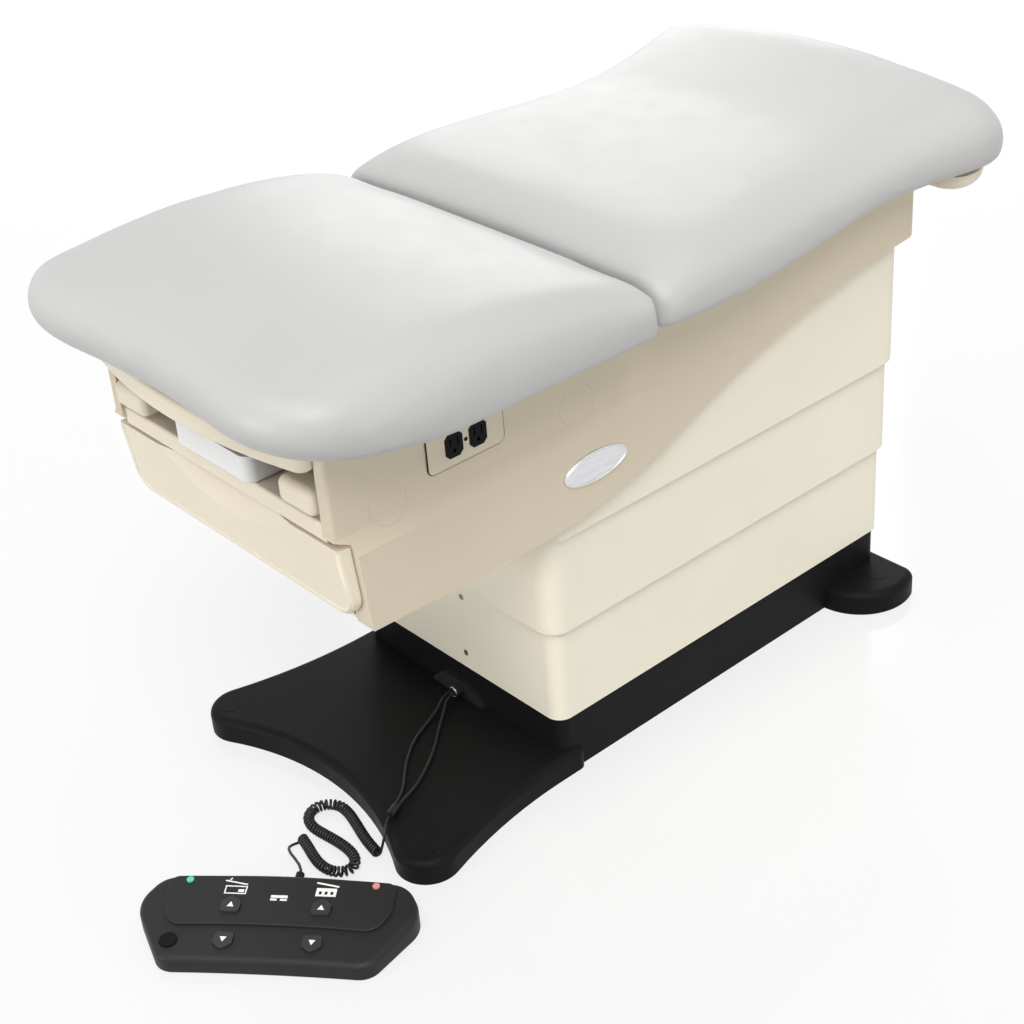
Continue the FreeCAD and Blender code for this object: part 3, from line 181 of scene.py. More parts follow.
make_camera()
make_floor()
make_world()
make_sky("light_over", place=(0.0, 0.0, 5.0), power=1.15, spread=60.0)
make_sky("light_key", place=(2.2, -1.7, 4.1), power=1.85, spread=35.0)
make_lamp("lamp_side", place=(4.4, 0.2, 1.0), target=(0.0, 0.0, 0.3), size=1.8, power=34.0)
make_lamp("lamp_back", place=(-3.4, 3.2, 2.2), target=(0.0, 0.1, 0.4), size=2.4, power=55.0)
make_lamp("lamp_front", place=(-0.8, -4.4, 0.9), target=(0.0, -0.4, 0.3), size=1.6, power=58.0)


# Finishes

def new_finish(name, colour, roughness):
    material = bpy.data.materials.new(name)
    material.use_nodes = True
    tree = material.node_tree
    shader = tree.nodes["Principled BSDF"]
    shader.inputs["Base Color"].default_value = (*colour, 1.0)
    shader.inputs["Roughness"].default_value = roughness
    return material, tree, shader


def add_noise(tree, scale, detail=4.0, stretch=(1.0, 1.0, 1.0)):
    place = tree.nodes.new("ShaderNodeTexCoord")
    mapping = tree.nodes.new("ShaderNodeMapping")
    mapping.inputs["Scale"].default_value = stretch
    noise = tree.nodes.new("ShaderNodeTexNoise")
    noise.inputs["Scale"].default_value = scale
    noise.inputs["Detail"].default_value = detail
    tree.links.new(place.outputs["Object"], mapping.inputs["Vector"])
    tree.links.new(mapping.outputs["Vector"], noise.inputs["Vector"])
    return noise


def tint(tree, shader, noise, dark, light):
    ramp = tree.nodes.new("ShaderNodeValToRGB")
    ramp.color_ramp.elements[0].position = 0.3
    ramp.color_ramp.elements[1].position = 0.7
    ramp.color_ramp.elements[0].color = (*dark, 1.0)
    ramp.color_ramp.elements[1].color = (*light, 1.0)
    tree.links.new(noise.outputs["Fac"], ramp.inputs["Fac"])
    tree.links.new(ramp.outputs["Color"], shader.inputs["Base Color"])


def vary_gloss(tree, shader, noise, low, high):
    spread = tree.nodes.new("ShaderNodeMapRange")
    spread.inputs["To Min"].default_value = low
    spread.inputs["To Max"].default_value = high
    tree.links.new(noise.outputs["Fac"], spread.inputs["Value"])
    tree.links.new(spread.outputs["Result"], shader.inputs["Roughness"])


def add_bump(tree, shader, height, strength, depth):
    bump = tree.nodes.new("ShaderNodeBump")
    bump.inputs["Strength"].default_value = strength
    bump.inputs["Distance"].default_value = depth
    tree.links.new(height, bump.inputs["Height"])
    tree.links.new(bump.outputs["Normal"], shader.inputs["Normal"])


def shade(colour, factor):
    return tuple(min(1.0, channel * factor) for channel in colour)


def moulded(name, colour, roughness, grain=1400.0, strength=0.12, depth=0.0002, spread=0.02, shine=0.4):
    material, tree, shader = new_finish(name, colour, roughness)
    shader.inputs["Specular IOR Level"].default_value = shine
    clouds = add_noise(tree, scale=5.0)
    tint(tree, shader, clouds, shade(colour, 1.0 - spread), shade(colour, 1.0 + spread))
    speckle = add_noise(tree, scale=60.0, detail=2.0)
    vary_gloss(tree, shader, speckle, low=roughness - 0.05, high=roughness + 0.05)
    skin = add_noise(tree, scale=grain, detail=2.0)
    add_bump(tree, shader, skin.outputs["Fac"], strength, depth)
    return material


def brushed(name, colour, roughness, stretch):
    material, tree, shader = new_finish(name, colour, roughness)
    shader.inputs["Metallic"].default_value = 1.0
    lines = add_noise(tree, scale=40.0, detail=3.0, stretch=stretch)
    tint(tree, shader, lines, shade(colour, 0.9), shade(colour, 1.06))
    vary_gloss(tree, shader, lines, low=roughness - 0.08, high=roughness + 0.1)
    add_bump(tree, shader, lines.outputs["Fac"], strength=0.08, depth=0.0001)
    return material


def upholstery(name, colour):
    material, tree, shader = new_finish(name, colour, 0.46)
    clouds = add_noise(tree, scale=3.5, detail=3.0)
    tint(tree, shader, clouds, shade(colour, 0.985), shade(colour, 1.015))
    place = tree.nodes.new("ShaderNodeTexCoord")
    pebble = tree.nodes.new("ShaderNodeTexVoronoi")
    pebble.feature = "SMOOTH_F1"
    pebble.inputs["Scale"].default_value = 620.0
    tree.links.new(place.outputs["Object"], pebble.inputs["Vector"])
    patches = add_noise(tree, scale=24.0, detail=2.0)
    vary_gloss(tree, shader, patches, low=0.40, high=0.52)
    add_bump(tree, shader, pebble.outputs["Distance"], strength=0.10, depth=0.0003)
    shader.inputs["Sheen Weight"].default_value = 0.04
    return material


def plywood(name, dark, light):
    material, tree, shader = new_finish(name, light, 0.62)
    rings = add_noise(tree, scale=22.0, detail=6.0, stretch=(6.0, 0.6, 6.0))
    tint(tree, shader, rings, dark, light)
    add_bump(tree, shader, rings.outputs["Fac"], strength=0.15, depth=0.0004)
    return material


CREAM = (0.87, 0.815, 0.67)
TAN = (0.82, 0.74, 0.595)
# The housing colour is the tan moulding darkened: painted shade of the pad overhang on the housing shells and
# panel caps
HOUSING_PAINTED_SHADE = (0.67, 0.588, 0.45)
BLACK = (0.008, 0.008, 0.0083)
PAD_GREY = (0.490, 0.486, 0.480)
CONTROL_BLACK = (0.017, 0.017, 0.018)
KEY_BLACK = (0.030, 0.030, 0.032)
RUBBER_BLACK = (0.012, 0.012, 0.012)
CORD_BLACK = (0.010, 0.010, 0.010)
SOCKET_BLACK = (0.003, 0.003, 0.003)
FRAME_GREY = (0.35, 0.36, 0.37)
BRIGHT_METAL = (0.62, 0.62, 0.63)
BADGE_METAL = (0.72, 0.72, 0.74)
WHITE = (0.86, 0.86, 0.85)
OUTLET_TAN = (0.70, 0.62, 0.485)
LENS_GREEN = (0.10, 0.62, 0.42)
LENS_RED = (0.80, 0.30, 0.28)
WOOD_DARK = (0.36, 0.26, 0.16)
WOOD_LIGHT = (0.52, 0.40, 0.27)

finishes = {
    "pad": upholstery("grey_upholstery", PAD_GREY),
    "cream": moulded("cream_shroud", CREAM, 0.42),
    "tan": moulded("tan_moulding", TAN, 0.44),
    "housing": moulded("tan_housing_painted_shade", HOUSING_PAINTED_SHADE, 0.46),
    "black_base": moulded("black_powder_coat", BLACK, 0.46, grain=900.0, strength=0.25, depth=0.0004,
                          spread=0.15, shine=0.06),
    "black_plastic": moulded("black_moulding", CONTROL_BLACK, 0.48, grain=1300.0, strength=0.22, depth=0.0003,
                             spread=0.12, shine=0.2),
    "key_plastic": moulded("key_moulding", KEY_BLACK, 0.44, grain=1300.0, strength=0.18, depth=0.0002,
                           spread=0.10, shine=0.25),
    "rubber": moulded("black_rubber", RUBBER_BLACK, 0.65, grain=1100.0, strength=0.30, depth=0.0004,
                      spread=0.15, shine=0.15),
    "cord": moulded("cord_jacket", CORD_BLACK, 0.38, grain=1600.0, strength=0.10, depth=0.0002,
                    spread=0.10, shine=0.3),
    "steel": moulded("grey_painted_steel", FRAME_GREY, 0.45, grain=900.0, strength=0.18, depth=0.0003,
                     spread=0.05),
    "bright": brushed("bright_steel", BRIGHT_METAL, 0.30, stretch=(1.0, 1.0, 14.0)),
    "badge": brushed("satin_badge", BADGE_METAL, 0.34, stretch=(1.0, 1.0, 18.0)),
    "white": moulded("white_moulding", WHITE, 0.30, grain=1500.0, strength=0.06, depth=0.0001, spread=0.012),
    "outlet": moulded("outlet_plate_finish", OUTLET_TAN, 0.34, grain=1500.0, strength=0.06, depth=0.0001,
                      spread=0.015),
    "outlet_black": moulded("outlet_socket_finish", SOCKET_BLACK, 0.36, grain=1500.0, strength=0.06,
                            depth=0.0001, spread=0.1, shine=0.08),
    "green": moulded("green_lens", LENS_GREEN, 0.22, grain=1500.0, strength=0.05, depth=0.0001, spread=0.05),
    "red": moulded("red_lens", LENS_RED, 0.22, grain=1500.0, strength=0.05, depth=0.0001, spread=0.05),
    "wood": plywood("birch_plywood", WOOD_DARK, WOOD_LIGHT),
}


def dress(node, slot):
    mesh = cad_nodes[node].data
    mesh.materials.clear()
    mesh.materials.append(finishes[slot])


def new_piece(name, shape, slot, body, smooth=True):
    mesh = bpy.data.meshes.new(name)
    shape.to_mesh(mesh)
    shape.free()
    mesh.materials.append(finishes[slot])
    for face in mesh.polygons:
        face.use_smooth = smooth
    piece = bpy.data.objects.new(name, mesh)
    scene.collection.objects.link(piece)
    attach(piece, body)
    return piece


for row in frame["record"]["subparts"]:
    dress(row["node"], row["material_slot"])
# The housing shells and panel caps get the darkened copy of the tan moulding, which paints the shade under
# the pad overhang
for node in ("housing_shell_left", "housing_shell_right", "panel_caps"):
    dress(node, "housing")
for node in ("leveller_caps", "key_round"):
    dress(node, "black_base")


JOIN_REACH = 0.00001
SHARP_EDGE = math.radians(50)
EDGE_WIDTHS = {"panel_caps": 0.0016, "drawer_front": 0.0030, "cord_outlet_plate": 0.0012,
               "outlet_sockets": 0.0006}


# Moulded edges are broken so that they catch the light
def break_edges(node, width):
    piece = cad_nodes[node]
    join = piece.modifiers.new("joined_faces", "WELD")
    join.merge_threshold = JOIN_REACH
    edge = piece.modifiers.new("broken_edges", "BEVEL")
    edge.width = width
    edge.segments = 3
    edge.limit_method = "ANGLE"
    edge.angle_limit = SHARP_EDGE
    flat = piece.modifiers.new("flat_faces", "WEIGHTED_NORMAL")
    flat.keep_sharp = True


for node, width in EDGE_WIDTHS.items():
    break_edges(node, width)


# Cords between base and foot control

LEAD_WIRE = 0.005
CURL_WIRE = 0.004
CURL_RADIUS = 0.0062
CURL_GAP = 0.0009
CURL_STEPS = 12
CURL_HEIGHT = 0.0092
CURL_SAMPLES = 500
CURL_BEND_LIMIT = 0.6
CURL_LAST_TURN = 0.25
SLEEVE_STRAIGHT = 0.012
CURL_LEAD_IN = 0.022
CURL_LEAD_OUT = 0.015
RELIEF_STRAIGHT = 0.014
RELIEF_ACROSS = 0.012
RELIEF_REACH = 0.086
RELIEF_HEIGHT = 0.020
SMALLEST_SPAN = 1e-9

lead_left_route = [(0.004, -0.3767, 0.051), (0.004, -0.3927, 0.051), (0.016, -0.4147, 0.0438),
                   (0.028, -0.4467, 0.0408), (0.045, -0.487, 0.0408), (0.080, -0.530, 0.0408),
                   (0.116, -0.562, 0.0408), (0.13656, -0.58674, 0.0448), (0.14328, -0.60126, 0.0448)]
lead_right_route = [(0.012, -0.3767, 0.051), (0.012, -0.3927, 0.051), (0.028, -0.4127, 0.0438),
                    (0.050, -0.4407, 0.0408), (0.082, -0.476, 0.0408), (0.110, -0.516, 0.0408),
                    (0.130, -0.553, 0.0408), (0.142, -0.58422, 0.0448), (0.14872, -0.59874, 0.0448)]
curl_middle = [(0.168, -0.656), (0.146, -0.653), (0.122, -0.647), (0.096, -0.639), (0.070, -0.632),
               (0.047, -0.632), (0.031, -0.645), (0.027, -0.664), (0.037, -0.681), (0.058, -0.688),
               (0.083, -0.685), (0.109, -0.681), (0.135, -0.680), (0.157, -0.685), (0.169, -0.699),
               (0.164, -0.716), (0.147, -0.726), (0.126, -0.727), (0.104, -0.722), (0.084, -0.716),
               (0.066, -0.712)]
curl_way_out = Vector((0.072, -0.743, 0.012))
sleeve_end = Vector((0.1544, -0.61815, 0.0448))
sleeve_heading = Vector((0.42, -0.9075, 0.0))
PEDAL_TURN = math.radians(41.0)
PEDAL_PLACE = Vector((0.1835, -0.837, 0.0))
relief_out = Vector((-math.sin(PEDAL_TURN), math.cos(PEDAL_TURN), 0.0))
relief_across = Vector((math.cos(PEDAL_TURN), math.sin(PEDAL_TURN), 0.0))
relief_tip = PEDAL_PLACE + relief_across * RELIEF_ACROSS + relief_out * RELIEF_REACH
relief_tip += Vector((0.0, 0.0, RELIEF_HEIGHT))


def cord_spline(name, points, thickness=0.0):
    curve = bpy.data.curves.new(name, "CURVE")
    curve.dimensions = "3D"
    curve.resolution_u = 6
    spline = curve.splines.new("NURBS")
    spline.points.add(len(points) - 1)
    for spot, point in zip(spline.points, points):
        spot.co = (*point, 1.0)
        spot.radius = thickness / 2
    spline.order_u = 3
    spline.use_endpoint_u = True
    curve.bevel_depth = 1.0 if thickness > 0 else 0.0
    curve.bevel_resolution = 3
    curve.use_fill_caps = thickness > 0
    holder = bpy.data.objects.new(name, curve)
    scene.collection.objects.link(holder)
    return holder


def finished_mesh(piece):
    bpy.context.view_layer.update()
    graph = bpy.context.evaluated_depsgraph_get()
    return bpy.data.meshes.new_from_object(piece.evaluated_get(graph))


def read_spline(holder):
    mesh = finished_mesh(holder)
    points = [vertex.co.copy() for vertex in mesh.vertices]
    bpy.data.meshes.remove(mesh)
    return points


def even_stations(points, count):
    reach = [0.0]
    for a, b in zip(points, points[1:]):
        reach.append(reach[-1] + (b - a).length)
    stations = []
    leg = 0
    for step in range(count + 1):
        want = reach[-1] * step / count
        while leg < len(points) - 2 and reach[leg + 1] < want:
            leg += 1
        span = max(reach[leg + 1] - reach[leg], SMALLEST_SPAN)
        share = (want - reach[leg]) / span
        spot = points[leg].lerp(points[leg + 1], share)
        heading = (points[leg + 1] - points[leg]).normalized()
        stations.append((spot, heading))
    return stations


# The turns lie close along the straights and open where the line bends
def wound_stations(points):
    spots = even_stations(points, CURL_SAMPLES)
    wound = [0.0]
    for (a, before), (b, after) in zip(spots, spots[1:]):
        reach = (b - a).length
        bend = before.angle(after) / reach
        opened = 1 - min(CURL_BEND_LIMIT, bend * CURL_RADIUS)
        wound.append(wound[-1] + reach * opened / (CURL_WIRE + CURL_GAP))
    count = int((math.floor(wound[-1]) + CURL_LAST_TURN) * CURL_STEPS)
    stations = []
    leg = 0
    for step in range(count + 1):
        want = wound[-1] * step / count
        while leg < len(spots) - 2 and wound[leg + 1] < want:
            leg += 1
        share = (want - wound[leg]) / (wound[leg + 1] - wound[leg])
        (a, before), (b, after) = spots[leg], spots[leg + 1]
        stations.append((a.lerp(b, share), before.lerp(after, share).normalized()))
    return stations


def lay_cord(name, route, thickness):
    cord = cord_spline(name, route, thickness)
    cord.data.materials.append(finishes["cord"])
    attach(cord, "base")
    return cord


lead_left = lay_cord("lead_left", lead_left_route, LEAD_WIRE)
lead_right = lay_cord("lead_right", lead_right_route, LEAD_WIRE)

middle_line = cord_spline("curl_middle_line", [(x, y, CURL_HEIGHT) for x, y in curl_middle])
middle_line.data.resolution_u = 24
middle_points = read_spline(middle_line)
bpy.data.objects.remove(middle_line)
curl_route = []
for step, (spot, heading) in enumerate(wound_stations(middle_points)):
    side = Vector((0.0, 0.0, 1.0)).cross(heading).normalized()
    angle = 2 * math.pi * step / CURL_STEPS - math.pi
    swing = CURL_RADIUS / math.cos(math.pi / CURL_STEPS)
    curl_route.append(spot + side * (swing * math.cos(angle)) + Vector((0, 0, swing * math.sin(angle))))
first_heading = (curl_route[1] - curl_route[0]).normalized()
last_heading = curl_route[-1] - curl_route[-2]
last_heading.z = 0.0
last_heading.normalize()
way_in = [sleeve_end, sleeve_end + sleeve_heading * SLEEVE_STRAIGHT,
          curl_route[0] - first_heading * CURL_LEAD_IN]
way_out = [curl_route[-1] + last_heading * CURL_LEAD_OUT, curl_way_out,
           relief_tip + relief_out * RELIEF_STRAIGHT, relief_tip]
curl = lay_cord("curly_cord", way_in + curl_route + way_out, CURL_WIRE)
curl.data.resolution_u = 3
curl.data.bevel_resolution = 2

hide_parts("cord_leads")
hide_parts("cord_curl")


def spline_length(holder):
    flat = cord_spline("measure", [tuple(p.co[:3]) for p in holder.data.splines[0].points])
    flat.data.resolution_u = 12
    points = read_spline(flat)
    bpy.data.objects.remove(flat)
    return sum((b - a).length for a, b in zip(points, points[1:]))


spline_length(lead_left)
spline_length(lead_right)
spline_length(curl)


# Cushions

PAD_HALF = 0.351
PAD_FRONT = -0.806
PAD_CROWN = 0.825
PAD_MIDDLE = 0.748
PAD_UNDER = 0.716
PAD_SKIRT = 0.704
PEAK_Y = -0.5005
SEAT_END = -0.2318
CREASE_TOP = 0.769
NOSE_REACH = 0.044
NOSE_TUCK = 0.052
SIDE_ROLL = 0.062
UNDER_ROLL = 0.018
HOLLOW_HALF = 0.264
CREASE_ROUND = 0.016
CREASE_CORNER = 0.90
CREASE_CORNER_SPAN = 0.10
CROWN_FALL = 0.017
NOSE_RISE = 0.016
NOSE_UNDER_LIFT = 0.005
SKIRT_LIFT = 0.003
SKIRT_TUCKS = 2.6
BACK_MIDDLE = 0.42
SHOULDER_ROUND = 0.85
UNDER_ROUND = 0.7
SKIRT_STEPS = 6
SEAT_UNDER_STEPS = 14
CREASE_STEPS = 4
SEAT_TOP_STEPS = 28
NOSE_STEPS = 7
BACK_TOP_STEPS = 24
SHOULDER_STEPS = 9
FLANK_STEPS = 7
BACK_UNDER_STEPS = 16
BACK_EVEN_FROM = -0.178
BACK_EVEN_TO = 0.440
BACK_EVEN_STEPS = 30
COVER_CELL = 0.008
COVER_CAP = 0.006
COVER_FRAMES = 20
COVER_EVEN = 30
COVER_OWN_SHARE = 2.0
COVER_MORE = 0.004
COVER_HELD = 0.006
COVER_MASS = 0.4
COVER_BENDING = 4.0
COVER_PRESSURE = 4.0


# Smooth values between the rows of a table whose first column is the place
def ease(rows, place):
    for low, high in zip(rows, rows[1:]):
        if place <= high[0]:
            break
    index = rows.index(low)
    before = rows[max(0, index - 1)]
    after = rows[min(len(rows) - 1, index + 2)]
    span = high[0] - low[0]
    t = min(1.0, max(0.0, (place - low[0]) / span))
    values = []
    for k in range(1, len(low)):
        slope_low = (high[k] - before[k]) / max(high[0] - before[0], SMALLEST_SPAN)
        slope_high = (after[k] - low[k]) / max(after[0] - low[0], SMALLEST_SPAN)
        values.append((2 * t ** 3 - 3 * t ** 2 + 1) * low[k] + (t ** 3 - 2 * t ** 2 + t) * span * slope_low
                      + (3 * t ** 2 - 2 * t ** 3) * high[k] + (t ** 3 - t ** 2) * span * slope_high)
    return values


# Share of the half width, share of the height above and below the middle, set back of the front
seat_rows = [(0.00, 1.000, 1.00, 0.015), (0.32, 0.983, 1.00, 0.008), (0.55, 0.948, 1.00, 0.000),
             (0.72, 0.912, 1.00, 0.007), (0.85, 0.869, 1.00, 0.031), (0.93, 0.705, 1.00, 0.064),
             (0.97, 0.517, 0.93, 0.098), (0.99, 0.337, 0.69, 0.130), (1.00, 0.060, 0.10, 0.185)]
# Place along the table, half width, underside, rim, crown
back_rows = [(-0.230, 0.322, 0.706, 0.768, 0.002), (-0.218, 0.334, 0.704, 0.772, 0.006),
             (-0.200, 0.340, 0.704, 0.776, 0.009), (-0.149, 0.342, 0.704, 0.784, 0.012),
             (-0.039, 0.338, 0.704, 0.787, 0.012), (0.101, 0.321, 0.706, 0.787, 0.013),
             (0.231, 0.316, 0.717, 0.786, 0.015), (0.324, 0.321, 0.718, 0.794, 0.020),
             (0.404, 0.337, 0.718, 0.799, 0.031), (0.461, 0.342, 0.718, 0.802, 0.038),
             (0.496, 0.326, 0.721, 0.790, 0.032), (0.513, 0.292, 0.732, 0.766, 0.018),
             (0.519, 0.252, 0.744, 0.748, 0.008)]


def straight(start, end, count):
    return [(start[0] + (end[0] - start[0]) * k / count, start[1] + (end[1] - start[1]) * k / count)
            for k in range(count)]


def quarter_turn(count):
    return [math.pi / 2 * k / count for k in range(count)]


# A section along the table: underside, crease, crowned top, nose and tuck
def seat_ring(x):
    share = abs(x) / PAD_HALF
    height, under, set_back = ease(seat_rows, share)
    front = PAD_FRONT + set_back
    top_y = front + NOSE_REACH
    top_z = PAD_MIDDLE + (PAD_CROWN - CROWN_FALL - PAD_MIDDLE) * height
    nose_z = PAD_MIDDLE + NOSE_RISE * height
    low_y = front + NOSE_TUCK
    low_z = PAD_MIDDLE - (PAD_MIDDLE - PAD_UNDER - NOSE_UNDER_LIFT) * under
    skirt_y = front + SKIRT_TUCKS * NOSE_TUCK
    skirt_z = PAD_MIDDLE - (PAD_MIDDLE - PAD_SKIRT - SKIRT_LIFT) * under
    end_y = SEAT_END - CREASE_ROUND * max(0.0, (share - CREASE_CORNER) / CREASE_CORNER_SPAN) ** 2
    end_low = PAD_MIDDLE - (PAD_MIDDLE - PAD_SKIRT) * under
    end_high = PAD_MIDDLE + (CREASE_TOP - PAD_MIDDLE) * height
    peak_z = PAD_MIDDLE + (PAD_CROWN - PAD_MIDDLE) * height
    points = straight((low_y, low_z), (skirt_y, skirt_z), SKIRT_STEPS)
    points += straight((skirt_y, skirt_z), (end_y, end_low), SEAT_UNDER_STEPS)
    points += straight((end_y, end_low), (end_y, end_high), CREASE_STEPS)
    for y, _ in straight((end_y, 0.0), (top_y, 0.0), SEAT_TOP_STEPS):
        a = (y - PEAK_Y) * (y - top_y) / ((end_y - PEAK_Y) * (end_y - top_y))
        b = (y - end_y) * (y - top_y) / ((PEAK_Y - end_y) * (PEAK_Y - top_y))
        c = (y - end_y) * (y - PEAK_Y) / ((top_y - end_y) * (top_y - PEAK_Y))
        points.append((y, a * end_high + b * peak_z + c * top_z))
    for turn in quarter_turn(NOSE_STEPS):
        points.append((front + NOSE_REACH * (1 - math.sin(turn)), nose_z + (top_z - nose_z) * math.cos(turn)))
    for turn in quarter_turn(NOSE_STEPS):
        points.append((front + NOSE_TUCK * (1 - math.cos(turn)), nose_z - (nose_z - low_z) * math.sin(turn)))
    return [Vector((x, y, z)) for y, z in points]


# A section across the table: crowned top, rolled sides and flat underside
def back_ring(y):
    half, low, high, crown = ease(back_rows, y)
    half += COVER_MORE
    middle = low + (high - low) * BACK_MIDDLE
    flat = half - SIDE_ROLL
    under = half - UNDER_ROLL

    def arch(x):
        return crown * (1 - (x / half) ** 2)

    def shoulder(x, lift):
        return x, middle + (high - middle) * lift ** SHOULDER_ROUND + arch(x) * lift

    def flank(drop):
        return middle - (middle - low) * drop ** UNDER_ROUND

    points = [(x, high + arch(x)) for x, _ in straight((-flat, 0.0), (flat, 0.0), BACK_TOP_STEPS)]
    for turn in quarter_turn(SHOULDER_STEPS):
        points.append(shoulder(flat + SIDE_ROLL * math.sin(turn), math.cos(turn)))
    for turn in quarter_turn(FLANK_STEPS):
        points.append((half - UNDER_ROLL * (1 - math.cos(turn)), flank(math.sin(turn))))
    points += straight((under, low), (-under, low), BACK_UNDER_STEPS)
    for turn in quarter_turn(FLANK_STEPS):
        points.append((UNDER_ROLL * (1 - math.sin(turn)) - half, flank(math.cos(turn))))
    for turn in quarter_turn(SHOULDER_STEPS):
        points.append(shoulder(-flat - SIDE_ROLL * math.cos(turn), math.sin(turn)))
    return [Vector((x, y, z)) for x, z in points]


def loft(rings):
    shape = bmesh.new()
    ring = bmesh.ops.create_circle(shape, segments=len(rings[0]), radius=0.1)["verts"]
    for vertex, spot in zip(ring, rings[0]):
        vertex.co = spot
    edges = list({edge for vertex in ring for edge in vertex.link_edges})
    for spots in rings[1:]:
        grown = bmesh.ops.extrude_edge_only(shape, edges=edges)["geom"]
        fresh = {item for item in grown if isinstance(item, bmesh.types.BMVert)}
        order = {vertex: index for index, vertex in enumerate(ring)}
        ring = [None] * len(ring)
        for vertex in fresh:
            near = [edge.other_vert(vertex) for edge in vertex.link_edges if edge.other_vert(vertex) in order]
            ring[order[near[0]]] = vertex
        for vertex, spot in zip(ring, spots):
            vertex.co = spot
        edges = [item for item in grown
                 if isinstance(item, bmesh.types.BMEdge) and all(vertex in fresh for vertex in item.verts)]
    bmesh.ops.holes_fill(shape, edges=[e for e in shape.edges if e.is_boundary], sides=0)
    bmesh.ops.recalc_face_normals(shape, faces=shape.faces)
    return shape


def hollow_under(shape):
    for vertex in shape.verts:
        if abs(vertex.co.x) < HOLLOW_HALF and vertex.co.z < PAD_UNDER:
            vertex.co.z = PAD_UNDER


# Sections lie closer together towards the rolled ends
seat_shares = [0.0, 0.08, 0.16, 0.24, 0.32, 0.40, 0.48, 0.55, 0.62, 0.68, 0.74, 0.79, 0.83, 0.87, 0.90, 0.925,
               0.945, 0.962, 0.976, 0.986, 0.994, 1.0]
seat_places = [-PAD_HALF * share for share in reversed(seat_shares[1:])]
seat_places += [PAD_HALF * share for share in seat_shares]
back_places = [-0.230, -0.2285, -0.224, -0.217, -0.207, -0.194, BACK_EVEN_FROM]
for step in range(1, BACK_EVEN_STEPS + 1):
    back_places.append(BACK_EVEN_FROM + (BACK_EVEN_TO - BACK_EVEN_FROM) * step / BACK_EVEN_STEPS)
back_places += [0.457, 0.472, 0.485, 0.496, 0.504, 0.510, 0.515, 0.518, 0.519]


# Each shift moves towards the mean of its neighbours
def evened(shifts, edges):
    sums = [shift * COVER_OWN_SHARE for shift in shifts]
    weights = [COVER_OWN_SHARE] * len(shifts)
    for edge in edges:
        a, b = edge.vertices
        sums[a] += shifts[b]
        sums[b] += shifts[a]
        weights[a] += 1.0
        weights[b] += 1.0
    return [total / weight for total, weight in zip(sums, weights)]


# Air pressure swells the cover, which is held along its underside
def swell(cover):
    woven = cover.data
    rest = [vertex.co.copy() for vertex in woven.vertices]
    held = cover.vertex_groups.new(name="held")
    held.add([v.index for v in woven.vertices if v.co.z < PAD_UNDER + COVER_HELD], 1.0, "REPLACE")
    cloth = cover.modifiers.new("cloth", "CLOTH")
    cloth.settings.quality = 5
    cloth.settings.mass = COVER_MASS
    cloth.settings.bending_stiffness = COVER_BENDING
    cloth.settings.use_pressure = True
    cloth.settings.uniform_pressure_force = COVER_PRESSURE
    cloth.settings.vertex_group_mass = "held"
    cloth.settings.effector_weights.gravity = 0.0
    cloth.point_cache.frame_start = 1
    cloth.point_cache.frame_end = COVER_FRAMES
    for number in range(1, COVER_FRAMES + 1):
        scene.frame_set(number)
    swollen = finished_mesh(cover)
    shifts = []
    for start, full in zip(rest, swollen.vertices):
        shift = full.co - start
        if shift.length > COVER_CAP:
            shift *= COVER_CAP / shift.length
        shifts.append(shift)
    for _ in range(COVER_EVEN):
        shifts = evened(shifts, woven.edges)
    for vertex, start, shift in zip(woven.vertices, rest, shifts):
        vertex.co = start + shift
    cover.modifiers.clear()
    cover.vertex_groups.clear()
    bpy.data.meshes.remove(swollen)
    scene.frame_set(1)


def sewn_cover(name, shape):
    mesh = bpy.data.meshes.new(name)
    shape.to_mesh(mesh)
    shape.free()
    cover = bpy.data.objects.new(name, mesh)
    scene.collection.objects.link(cover)
    cells = cover.modifiers.new("cells", "REMESH")
    cells.mode = "VOXEL"
    cells.voxel_size = COVER_CELL
    even = cover.modifiers.new("even", "SMOOTH")
    even.factor = 0.5
    even.iterations = 4
    woven = finished_mesh(cover)
    cover.modifiers.clear()
    cover.data = woven
    swell(cover)
    woven.materials.clear()
    woven.materials.append(finishes["pad"])
    for face in woven.polygons:
        face.use_smooth = True
    soften = cover.modifiers.new("soften", "SUBSURF")
    soften.levels = 1
    soften.render_levels = 1
    return cover


seat_shape = loft([seat_ring(x) for x in seat_places])
back_shape = loft([back_ring(y) for y in back_places])
for shape in (seat_shape, back_shape):
    hollow_under(shape)
seat_cushion = sewn_cover("seat_cushion", seat_shape)
back_cushion = sewn_cover("back_cushion", back_shape)
for cushion, node, body in ((seat_cushion, "seat_pad", "carriage"),
                            (back_cushion, "back_pad", "back_section")):
    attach(cushion, body)
    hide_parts(node)


# Markings on the foot control

MARK_THICK = 0.0004
MARK_SINK = 0.0001
DECK_FRONT = -0.088
DECK_LOW = 0.025
DECK_SLOPE = 0.0155 / 0.154
PANEL_RISE = 0.004
KEY_RISE = 0.003
KEY_UP_ACROSS = 62.0
KEY_UP_ALONG = 1.5
KEY_DOWN_ACROSS = 60.0
KEY_DOWN_ALONG = -52.5
ARROW_HALF = 4.6
ARROW_FOOT = 3.4
ARROW_TIP = 4.8


def on_deck(u, v, rise):
    height = DECK_LOW + (v - DECK_FRONT) * DECK_SLOPE + rise
    return PEDAL_PLACE + relief_across * u + relief_out * v + Vector((0.0, 0.0, height))


# Outlines are in millimetres, across and along the sloping deck
def slab(u0, v0, u1, v1):
    return [(u0, v0), (u1, v0), (u1, v1), (u0, v1)]


def bar(u0, v0, u1, v1, width):
    along = Vector((u1 - u0, v1 - v0)).normalized() * (width / 2)
    return [(u0 + along.y, v0 - along.x), (u1 + along.y, v1 - along.x),
            (u1 - along.y, v1 + along.x), (u0 - along.y, v0 + along.x)]


